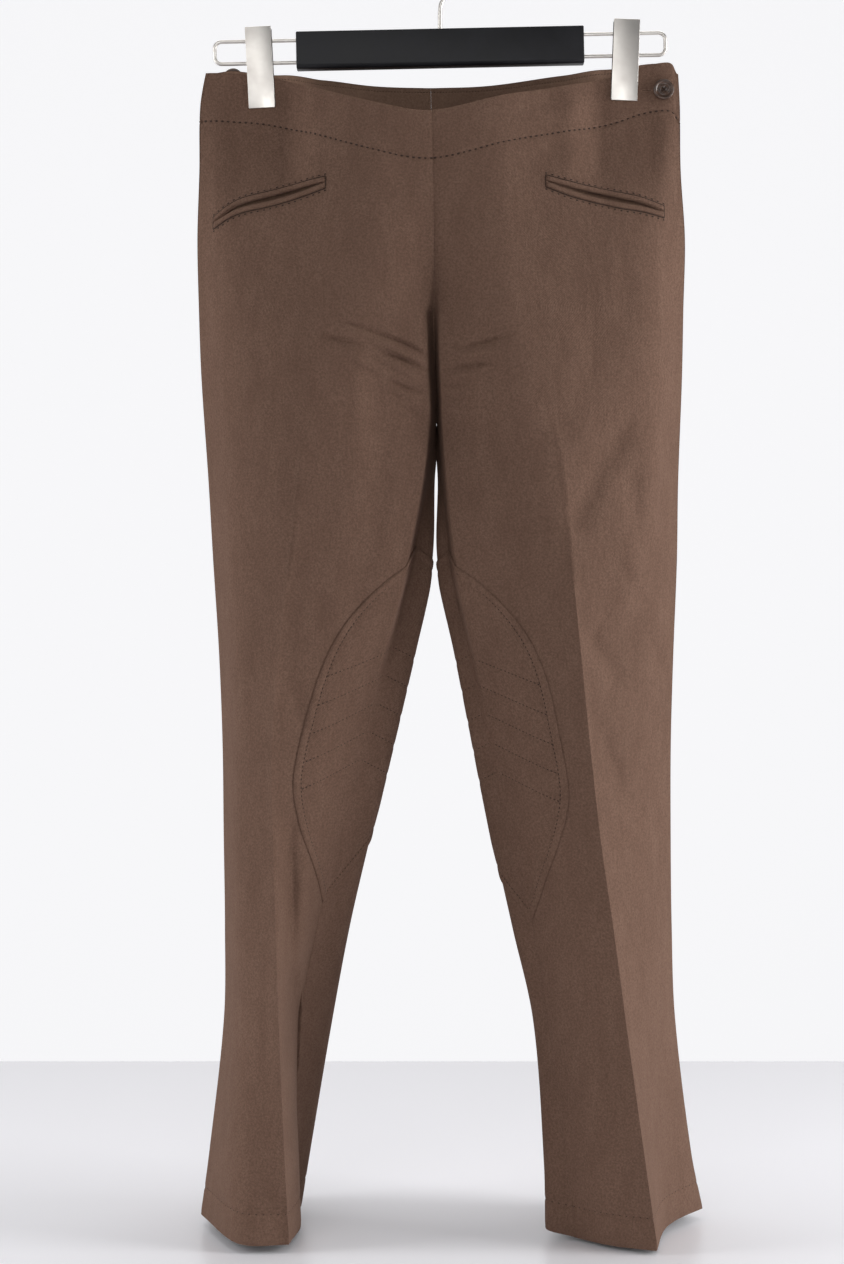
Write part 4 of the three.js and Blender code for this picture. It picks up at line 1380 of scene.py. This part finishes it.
@dataclass
class KneePatches:
    """A quilted leaf-shaped patch on the inside of each knee, wrapped over the inner leg seam."""

    cut: Cut
    halves: Table = field(default_factory=lambda: Table("share half", [
        [0, 0], [0.036, 19], [0.092, 41], [0.154, 56], [0.223, 65], [0.307, 69], [0.466, 69], [0.63, 67],
        [0.71, 60], [0.8, 45], [0.88, 27.5], [0.95, 12], [1, 0],
    ]))
    spans: dict[Side, tuple[float, float]] = field(default_factory=lambda: {
        Side.RIGHT: (-527.0, -838.0), Side.LEFT: (-531.0, -852.0),
    })
    quilting: Sequence[float] = (-0.06, 0.13, 0.32, 0.51, 0.7)
    across: int = 96
    down: int = 170
    stitch_inset: float = 7.0
    thickness: float = 1.2

    def places(self, side: Side, distance: Array, z: Array) -> Grid:
        """Lay a grid of places given by their distance round the leg from the inner leg seam.

        Args:
            side: The leg.
            distance: Distances, over zero on the front, one row for each height.
            z: One height for each row.

        Returns:
            The grid.
        """
        points = np.zeros((*distance.shape, 3))
        normals = np.zeros_like(points)
        height = np.repeat(z[:, None], distance.shape[1], 1)
        for face, sign in ((Face.FRONT, 1.0), (Face.BACK, -1.0)):
            along = self.cut.along_at_distance(side, face, np.maximum(distance * sign, 0), z)
            level = (distance == 0)[..., None]
            here = (distance * sign > 0)[..., None] | (level & (face is Face.FRONT))
            cloth = self.cut.grid(side, face, along, height)
            points += cloth.points * here
            normals += cloth.normals * (here | level)
        normals /= np.linalg.norm(normals, axis=-1, keepdims=True)
        return Grid(points, normals)

    def edge_distance(self, side: Side, distance: Array, z: Array) -> Array:
        """Measure how far places lie inside the patch's edge.

        Args:
            side: The leg.
            distance: Distances round the leg.
            z: Heights of the same shape.

        Returns:
            The distance to the nearest edge.
        """
        top, bottom = self.spans[side]
        share = np.linspace(0, 1, 260)
        half = self.halves.read("half", share)
        rim_z = top + (bottom - top) * share
        rim = np.concatenate([np.stack([half, rim_z], -1), np.stack([-half, rim_z], -1)])
        here = np.stack([distance, z], -1).reshape(-1, 2)
        near = [np.sqrt(((rim - point) ** 2).sum(-1).min()) for point in here]
        return np.reshape(near, distance.shape)

    def quilt_lines(self, side: Side, front: bool) -> list[tuple[Array, Array]]:
        """Give the slanting quilting lines.

        Args:
            side: The leg.
            front: Whether they lie on the front half of the patch.

        Returns:
            For each line its distances round the leg and its heights.
        """
        top, bottom = self.spans[side]
        sign = 1.0 if front else -1.0
        rise = np.linspace(0, 1, 24)
        return [(sign * (2 + 62 * rise), top + (bottom - top) * (0.44 + 0.52 * line) * 0.8 + 14 - 26 * rise)
                for line in self.quilting]

    def build(self, finishes: Finishes, stitches: StitchTree) -> None:
        """Make and dress both patches with their stitches.

        Args:
            finishes: The finishes.
            stitches: The stitch maker.
        """
        for side in Side:
            top, bottom = self.spans[side]
            share = np.linspace(0.004, 0.996, self.down + 1)
            z = top + (bottom - top) * share
            half = self.halves.read("half", share)
            distance = half[:, None] * np.linspace(1, -1, self.across + 1)[None, :]
            distance[:, self.across // 2] = 0
            height = np.repeat(z[:, None], self.across + 1, 1)
            grid = self.places(side, distance, z)
            inside = self.edge_distance(side, distance, height)
            relief = self.thickness * (1 - 0.75 * dip(inside, 0.9))
            relief = relief + 0.55 * smooth(8, 20, inside) - 0.55 * dip(inside - self.stitch_inset, 1.5)
            for front in (True, False):
                for line_distance, line_z in self.quilt_lines(side, front):
                    order = np.argsort(line_distance)
                    line = np.interp(distance, line_distance[order], line_z[order], left=1e3, right=1e3)
                    relief = relief - 0.5 * dip(height - line, 2.0) * smooth(7, 10, inside)
            patch = closed_sheet(f"knee_patch_{side.value}_cloth", grid, LAY_GAP + relief, -0.5)
            dress(patch, finishes.wool, "wool", f"knee_patch_{side.value}")
            self.sew(side, finishes, stitches)

    def sew(self, side: Side, finishes: Finishes, stitches: StitchTree) -> None:
        """Lay the stitches round a patch's edge and across its middle.

        Args:
            side: The leg.
            finishes: The finishes.
            stitches: The stitch maker.
        """
        top, bottom = self.spans[side]
        share = np.linspace(0.035, 0.965, 90)
        half = np.maximum(self.halves.read("half", share) - self.stitch_inset, 0.5)
        z = top + (bottom - top) * share
        lines = [(half, z), (-half, z)]
        for front in (True, False):
            lines += self.quilt_lines(side, front)
        rows = []
        for number, (distance, heights) in enumerate(lines):
            inside = self.edge_distance(side, distance, heights)
            keep = inside > (0 if number < 2 else 7.5)
            grid = self.places(side, distance[keep, None], heights[keep])
            lift = LAY_GAP + self.thickness - (0.42 if number < 2 else 0.0)
            rows.append((grid.offset(lift)[:, 0], grid.normals[:, 0]))
        seam = stitches.lay(f"knee_stitches_{side.value}", rows, (3.6, 2.2, 1.0, 0.6), finishes.thread)
        dress(seam, finishes.thread, "wool")


@dataclass
class WaistFacings:
    """The facing inside the back waist, in two halves that meet at the centre back."""

    cut: Cut
    depth: float = 52.0
    end: float = 3.4
    line: float = 4.0

    def build(self, finishes: Finishes, stitches: StitchTree) -> None:
        """Make and dress both halves with the stitching along their upper edge.

        Args:
            finishes: The finishes.
            stitches: The stitch maker.
        """
        inner = CLOTH + LAY_GAP
        for side in Side:
            rows = spaced(self.depth, 2.2, (1.4, 5.4, 0.7)) + 0.6
            along, down = np.meshgrid(np.linspace(0.006, self.end, 70), rows)
            z = self.cut.height(side, Face.BACK, along, down)
            grid = self.cut.grid(side, Face.BACK, along, z)
            press = 0.3 * dip(down - self.line, 0.9)
            facing = closed_sheet(f"back_facing_{side.value}_cloth", grid, -inner, -inner - FACING + press)
            # The facing's wool is painted lighter, as painted light for the shade inside the back waist.
            dress(facing, finishes.wool_inside, "wool_inside", f"back_facing_{side.value}")
            line = np.linspace(0.02, self.end, 120)
            cloth = self.cut.grid(side, Face.BACK, line, self.cut.height(side, Face.BACK, line, self.line))
            row = [(cloth.points - cloth.normals * (inner + FACING - 0.12), -cloth.normals)]
            sewn = stitches.lay(f"facing_stitches_{side.value}", row, (2.6, 1.7, 0.5, 0.35), finishes.thread)
            dress(sewn, finishes.thread, "wool_inside")


@dataclass
class SewnLines:
    """The pick stitches below the waist edge and above the hems."""

    cut: Cut

    def build(self, finishes: Finishes, stitches: StitchTree) -> None:
        """Lay and dress the stitches.

        Args:
            finishes: The finishes.
            stitches: The stitch maker.
        """
        # These stitches sit half sunk in the pressed lines; their dark thread is partly painted shade of the
        # stitch dimples.
        for name, down, sizes in (("waist_stitches", WAIST_LINE, (5.0, 2.8, 1.7, 0.6)),
                                  ("hem_stitches", HEM_LINE, (6.0, 1.6, 0.8, 0.45))):
            rows = []
            for side in Side:
                for face in Face:
                    line = np.linspace(0.03, 3.97, 220)
                    cloth = self.cut.grid(side, face, line, self.cut.height(side, face, line, down))
                    rows.append((cloth.points - cloth.normals * 0.5, cloth.normals))
            dress(stitches.lay(name, rows, sizes, finishes.thread), finishes.thread, "wool")


def plain_mesh(name: str, work: bmesh.types.BMesh, sharp: float) -> bpy.types.Object:
    """Turn a worked mesh into a smooth-shaded object.

    Args:
        name: The object's name.
        work: The worked mesh, which is freed.
        sharp: Angle in degrees over which an edge stays sharp.

    Returns:
        The object.
    """
    mesh = bpy.data.meshes.new(name)
    work.to_mesh(mesh)
    work.free()
    mesh.polygons.foreach_set("use_smooth", [True] * len(mesh.polygons))
    mesh.set_sharp_from_angle(angle=math.radians(sharp))
    return make_object(name, mesh)


@dataclass
class Buttons:
    """Two horn buttons and the buttonhole beside the front one."""

    cut: Cut
    profile: Rows = (
        (0, 0), (6.6, 0), (7.8, 0.25), (8.6, 0.8), (9.0, 1.6), (8.95, 2.3), (8.6, 2.9), (8.0, 3.18),
        (7.3, 3.2), (6.8, 3.0), (6.3, 2.5), (5.7, 2.1), (4.9, 1.95), (4.2, 1.98), (3.9, 2.2),
        (3.6, 2.35), (3.2, 2.3), (2.9, 2.0), (2.4, 1.85), (0, 1.8),
    )
    turns: int = 56
    hole_off: float = 1.25
    hole_radius: float = 0.72
    front_at: tuple[float, float] = (194.2, -131.2)

    def disc(self, name: str) -> bpy.types.Object:
        """Turn one button with a raised rim, a dished middle and four holes, its underside on the origin."""
        work = bmesh.new()
        rings = []
        for radius, height in self.profile:
            angles = [2 * math.pi * k / self.turns for k in range(self.turns if radius else 1)]
            rings.append([work.verts.new((radius * MM * math.cos(a), radius * MM * math.sin(a), height * MM))
                          for a in angles])
        for low, high in zip(rings, rings[1:]):
            for k in range(self.turns):
                n = (k + 1) % self.turns
                ring = [low[k % len(low)], low[n % len(low)], high[n % len(high)], high[k % len(high)]]
                work.faces.new(list(dict.fromkeys(ring)))
        bmesh.ops.recalc_face_normals(work, faces=work.faces)
        disc = plain_mesh(name, work, 50)
        for x, y in ((1, 1), (-1, 1), (-1, -1), (1, -1)):
            carve(disc, self.pin(x * self.hole_off, y * self.hole_off))
        disc.data.set_sharp_from_angle(angle=math.radians(50))
        return disc

    def pin(self, x: float, y: float) -> bpy.types.Object:
        """Make the closed pin that cuts one hole."""
        work = bmesh.new()
        radius = self.hole_radius * MM
        bmesh.ops.create_cone(work, cap_ends=True, segments=20, radius1=radius, radius2=radius, depth=12 * MM)
        bmesh.ops.translate(work, verts=work.verts, vec=(x * MM, y * MM, 0))
        return plain_mesh("hole", work, 50)

    def place(self, piece: bpy.types.Object, side: Side, face: Face, along: float, z: float,
              off: float) -> None:
        """Lay a piece made at the origin on the cloth, in its mesh.

        Args:
            piece: The piece, facing +Z.
            side: The leg.
            face: Front or back.
            along: Place along the plan.
            z: Height.
            off: Distance off the cloth.
        """
        normal = Vector(self.cut.outward(side, face, along, z))
        point = Vector(self.cut.surface(side, face, along, z)) + normal * off
        turn = Vector((0, 0, 1)).rotation_difference(normal).to_matrix().to_4x4()
        piece.data.transform(Matrix.Translation(point * MM) @ turn)

    def shank(self, name: str) -> bpy.types.Object:
        """Make the crossed threads that hold a button."""
        work = bmesh.new()
        lift = Matrix.Translation((0, 0, 1.95 * MM))
        size = Matrix.Diagonal((4.4 * MM, 0.6 * MM, 0.9 * MM, 1))
        for turn in (45, 135):
            for shift in (-0.32, 0.32):
                made = bmesh.ops.create_uvsphere(work, u_segments=12, v_segments=8, radius=0.5)["verts"]
                matrix = (lift @ Matrix.Rotation(math.radians(turn), 4, "Z")
                          @ Matrix.Translation((0, shift * MM, 0)) @ size)
                bmesh.ops.transform(work, matrix=matrix, verts=made)
        return plain_mesh(name, work, 60)

    def build(self, finishes: Finishes, stitches: StitchTree) -> None:
        """Make and dress both buttons, their threads and the buttonhole.

        Args:
            finishes: The finishes.
            stitches: The stitch maker.
        """
        front_x, front_z = self.front_at
        front = float(self.cut.along_at_x(Side.LEFT, Face.FRONT, np.array([front_x]), np.array([front_z]))[0])
        for name, side, face, along, z, off in (
                ("front_button", Side.LEFT, Face.FRONT, front, front_z, 0.35),
                ("back_button", Side.RIGHT, Face.BACK, 3.05, -119.6, 1.1)):
            disc, threads = self.disc(f"{name}_horn"), self.shank(f"{name}_thread")
            self.place(disc, side, face, along, z, off)
            self.place(threads, side, face, along, z, off)
            dress(disc, finishes.horn, "horn", name)
            dress(threads, finishes.thread, "wool")
        self.buttonhole(finishes, stitches)

    def buttonhole(self, finishes: Finishes, stitches: StitchTree) -> None:
        """Work the buttonhole beside the front button.

        Args:
            finishes: The finishes.
            stitches: The stitch maker.
        """
        x = np.linspace(174.5, 184.5, 24)
        rows = []
        for off, bend in ((0.0, 0.0), (0.62, 0.2), (-0.62, 0.2)):
            z = -131.6 + off * np.sin(np.linspace(0, np.pi, 24)) ** 0.3
            cloth = self.cut.grid(Side.LEFT, Face.FRONT, self.cut.along_at_x(Side.LEFT, Face.FRONT, x, z), z)
            rows.append((cloth.points + cloth.normals * (bend - 0.05), cloth.normals))
        slit = stitches.lay("buttonhole_slit", rows[:1], (0.9, 1.3, 0.5, 0.35), finishes.thread)
        dress(slit, finishes.thread, "wool")
        edge = stitches.lay("buttonhole_edge", rows[1:], (0.55, 0.5, 0.85, 0.45), finishes.wool_inside)
        dress(edge, finishes.wool_inside, "wool")


def tube(name: str, path: Array, radius: float, sides: int = 20) -> bpy.types.Object:
    """Make a closed round wire along points in the plane of x and z.

    Args:
        name: The object's name.
        path: Points in millimetres.
        radius: The wire's radius.
        sides: How many sides it has.

    Returns:
        The wire.
    """
    run = np.gradient(path, axis=0)
    run /= np.linalg.norm(run, axis=1, keepdims=True)
    side = np.cross(run, [0.0, 1.0, 0.0])
    turn = np.linspace(0, 2 * np.pi, sides, endpoint=False)[None, :, None]
    round_off = np.cos(turn) * side[:, None, :] + np.sin(turn) * np.array([0.0, 1.0, 0.0])
    rings = path[:, None, :] + radius * round_off
    last = (len(path) - 1) * sides
    faces = [[i + j, i + (j + 1) % sides, i + sides + (j + 1) % sides, i + sides + j]
             for i in range(0, last, sides) for j in range(sides)]
    faces += [list(range(sides))[::-1], [last + j for j in range(sides)]]
    made = mesh_of(name, rings.reshape(-1, 3), faces)
    work = bmesh.new()
    work.from_mesh(made.data)
    bmesh.ops.recalc_face_normals(work, faces=work.faces)
    work.to_mesh(made.data)
    work.free()
    return made


def bevelled_block(name: str, low: Sequence[float], high: Sequence[float], bevel: float, segments: int = 3,
                   chamfer: float = 0.0) -> bpy.types.Object:
    """Make a block with rounded edges between two corners, in millimetres.

    Args:
        name: The object's name.
        low: Lowest corner.
        high: Highest corner.
        bevel: Radius of its edges.
        segments: How many steps each rounding has.
        chamfer: Width of a flat taken off the lower front edge.

    Returns:
        The block.
    """
    work = bmesh.new()
    bmesh.ops.create_cube(work, size=1.0)
    size = [h - l for l, h in zip(low, high, strict=True)]
    middle = [(h + l) / 2 for l, h in zip(low, high, strict=True)]
    bmesh.ops.scale(work, vec=[s * MM for s in size], verts=work.verts)
    bmesh.ops.translate(work, vec=[m * MM for m in middle], verts=work.verts)
    if chamfer:
        lower_front = [edge for edge in work.edges
                       if all(v.co.y < middle[1] * MM and v.co.z < middle[2] * MM for v in edge.verts)]
        bmesh.ops.bevel(work, geom=lower_front, offset=chamfer * MM, segments=1, affect="EDGES")
    bmesh.ops.bevel(work, geom=work.edges[:], offset=bevel * MM, segments=segments, affect="EDGES",
                    profile=0.5)
    bmesh.ops.recalc_face_normals(work, faces=work.faces)
    return plain_mesh(name, work, 25)


@dataclass
class Hanger:
    """The hanger: a black bar on a wire hook, a wire loop at each end and a clip on each loop."""

    bar_length: float = 250.0
    bar_height: float = 32.0
    bar_depth: float = 14.0
    bar_z: float = -94.6
    tilt: float = 1.2
    wire: float = 1.7
    spacing: float = 19.3
    loop_end: float = 196.0
    hook_wire: float = 1.9
    hook_inside: float = 20.0
    clip_width: float = 22.6
    clip_height: float = 71.0
    clip_head: float = 9.1
    jaw: float = 1.5
    clip_z: dict[Side, float] = field(default_factory=lambda: {Side.RIGHT: -111.5, Side.LEFT: -105.0})
    clip_lean: dict[Side, float] = field(default_factory=lambda: {Side.RIGHT: -3.1, Side.LEFT: 2.1})

    def tilted(self) -> Matrix:
        """The bar's turn and place."""
        return Matrix.Translation((0, 0, self.bar_z * MM)) @ Matrix.Rotation(math.radians(-self.tilt), 4, "Y")

    def bar(self, finishes: Finishes) -> None:
        """Make and dress the bar."""
        x, y, z = self.bar_length / 2, self.bar_depth / 2, self.bar_height / 2
        bar = bevelled_block("hanger_bar_black", (-x, -y, -z), (x, y, z), 1.1, 4, 2.6)
        bar.data.transform(self.tilted())
        dress(bar, finishes.black_bar, "black_bar", "hanger_bar")

    def loop(self, side: Side, finishes: Finishes) -> None:
        """Make and dress one wire loop."""
        out = -1.0 if side is Side.RIGHT else 1.0
        half, bend = self.spacing / 2, 6.0
        start, end = self.bar_length / 2 - 3.0, self.loop_end
        turn = np.linspace(np.pi / 2, 0, 12)
        upper = np.column_stack([end - bend + bend * np.cos(turn), half - bend + bend * np.sin(turn)])
        lower = np.column_stack([upper[::-1, 0], -upper[::-1, 1]])
        straight = np.column_stack([np.linspace(start, end - bend - 1, 24), np.full(24, half)])
        back = np.column_stack([straight[::-1, 0], -straight[::-1, 1]])
        flat = np.concatenate([straight, upper, lower, back])
        path = np.column_stack([flat[:, 0] * out, np.zeros(len(flat)), flat[:, 1]])
        wire = tube(f"wire_loop_{side.value}_steel", path, self.wire)
        wire.data.transform(self.tilted())
        dress(wire, finishes.steel, "steel", f"wire_loop_{side.value}")

    def hook(self, finishes: Finishes) -> None:
        """Make and dress the hook and its stem."""
        radius = self.hook_inside + self.hook_wire
        foot = self.bar_z + self.bar_height / 2 - 2.0
        knots = [(0.0, foot), (0.0, foot + 8), (0.0, foot + 16), (1.5, foot + 26)]
        for degrees in np.arange(-45, 201, 8.75):
            turn = math.radians(degrees)
            knots.append((radius * math.cos(turn), -self.hook_inside + radius * math.sin(turn)))
        points = np.array(knots)
        share = np.concatenate([[0], np.cumsum(np.hypot(*np.diff(points, axis=0).T))])
        path = Table("share x z", np.column_stack([share, points]).tolist())
        fine = np.linspace(0, share[-1], 150)
        run = np.column_stack([path.read("x", fine), np.zeros(150), path.read("z", fine)])
        dress(tube("hanger_hook_steel", run, self.hook_wire), finishes.steel, "steel", "hanger_hook")

    def clip(self, side: Side, finishes: Finishes) -> None:
        """Make and dress one clip: a bright front plate, a dark strip that shows along one side of it, the
        head and the back plate.
        """
        inside, half, x = PINCH_HALF + LAY_GAP, self.clip_height / 2, self.clip_width / 2
        outside = inside + self.jaw
        lean = (Matrix.Translation((CLIP_X[side] * MM, 0, self.clip_z[side] * MM))
                @ Matrix.Rotation(math.radians(self.clip_lean[side]), 4, "Y"))
        shift = 1.2 if side is Side.RIGHT else -1.2
        parts = (
            ("plate", (-x, -outside, -half), (x, -inside - 0.05, half), 0.45, finishes.steel, True),
            # A dark strip behind the front plate, shifted sideways so that it shows along one side of it.
            ("dark_edge_strip", (-x + 0.6 + shift, -inside - 0.1, -half + 1.2),
             (x - 0.6 + shift, -inside + 0.25, half - 3), 0.12, finishes.dark_steel, False),
            ("head", (-x + 1.4, -inside, half - self.clip_head), (x - 1.4, inside, half - 0.8), 0.5,
             finishes.dark_steel, False),
            ("back_plate", (-x, inside + 0.05, -half), (x, outside, half), 0.45, finishes.steel, False),
        )
        for part, low, high, bevel, finish, main in parts:
            piece = bevelled_block(f"clip_{side.value}_{part}", low, high, bevel)
            piece.data.transform(lean)
            dress(piece, finish, "steel", *([f"clip_{side.value}"] if main else []))

    def build(self, finishes: Finishes) -> None:
        """Make and dress the whole hanger.

        Args:
            finishes: The finishes.
        """
        self.bar(finishes)
        self.hook(finishes)
        for side in Side:
            self.loop(side, finishes)
            self.clip(side, finishes)


@dataclass
class Studio:
    """The floor, the backdrop, the lights and the camera."""

    floor_z: float = -1.1215
    floor_end: float = 0.82
    wall_y: float = 5.2
    camera_at: tuple[float, float, float] = (-0.0157, -2.1, -0.6022)
    lens: float = 68.75
    lights: Sequence[tuple] = (
        ("right_strip", (1.9, -0.4, -0.3), (0.05, 0.0, -0.6), (0.8, 1.6), 35),
        ("left_strip", (-1.9, -0.3, -0.3), (-0.05, 0.0, -0.6), (0.8, 1.6), 18),
        ("front_left", (-0.85, -3.0, 0.6), (0.0, 0.0, -0.6), (1.6, 1.6), 15),
        ("front_right", (0.3, -3.1, -0.5), (0.0, 0.0, -0.6), (0.5, 1.2), 10),
        ("top", (0.0, 0.35, 1.4), (0.0, 0.35, -1.1), (2.6, 0.8), 20),
    )

    def plane(self, name: str, corners: Sequence[tuple[float, float, float]], finish: StudioFinish) -> None:
        """Make one flat surface of the studio.

        Args:
            name: Its name.
            corners: Its four corners in metres.
            finish: Its finish.
        """
        mesh = bpy.data.meshes.new(name)
        mesh.from_pydata(corners, [], [[0, 1, 2, 3]])
        surface = make_object(name, mesh)
        surface.data.materials.append(finish.make())

    def light(self, name: str, at: tuple[float, float, float], aim: tuple[float, float, float],
              size: tuple[float, float], power: float) -> None:
        """Hang one soft rectangular light.

        Args:
            name: Its name.
            at: Its place.
            aim: Where it points.
            size: Its width and height.
            power: Its power in watts.
        """
        lamp = bpy.data.lights.new(name, "AREA")
        lamp.shape = "RECTANGLE"
        lamp.size, lamp.size_y = size
        lamp.energy = power
        holder = bpy.data.objects.new(name, lamp)
        bpy.context.scene.collection.objects.link(holder)
        holder.location = at
        holder.rotation_euler = (Vector(aim) - Vector(at)).to_track_quat("-Z", "Y").to_euler()

    def build(self) -> None:
        """Make the whole studio."""
        scene = bpy.context.scene
        scene.view_settings.view_transform = "Standard"
        low, end, wall = self.floor_z, self.floor_end, self.wall_y
        self.plane("floor", [(-4, -0.9, low), (4, -0.9, low), (4, end, low), (-4, end, low)],
                   StudioFinish("floor_paint", srgb(238, 237, 241), 0.32, 0.35))
        self.plane("backdrop", [(-6, wall, -4), (6, wall, -4), (6, wall, 4), (-6, wall, 4)],
                   StudioFinish("backdrop_paper", srgb(160, 160, 162), 0.95, 0.05, 0.83))
        world = bpy.data.worlds.new("studio_air")
        world.use_nodes = True
        world.node_tree.nodes["Background"].inputs[0].default_value = (1.0, 1.0, 1.02, 1.0)
        world.node_tree.nodes["Background"].inputs[1].default_value = 0.2
        scene.world = world
        for name, at, aim, size, power in self.lights:
            self.light(name, at, aim, size, power)
        lens = bpy.data.cameras.new("camera")
        lens.sensor_fit = "VERTICAL"
        lens.sensor_height = 36.0
        lens.lens = self.lens
        camera = bpy.data.objects.new("camera", lens)
        scene.collection.objects.link(camera)
        camera.location = self.camera_at
        camera.rotation_euler = (math.radians(90), 0, 0)
        scene.camera = camera


def main() -> None:
    """Build the studio, the trousers and the hanger."""
    logging.basicConfig(level=logging.INFO, format="%(message)s")
    Studio().build()
    finishes, cut, stitches = Finishes(), Cut(), StitchTree()
    pockets = Pockets(cut)
    Panels(cut).build(finishes, pockets)
    pockets.build(finishes, stitches)
    KneePatches(cut).build(finishes, stitches)
    WaistFacings(cut).build(finishes, stitches)
    SewnLines(cut).build(finishes, stitches)
    Buttons(cut).build(finishes, stitches)
    Hanger().build(finishes)
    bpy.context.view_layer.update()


if __name__ == "__main__":
    main()
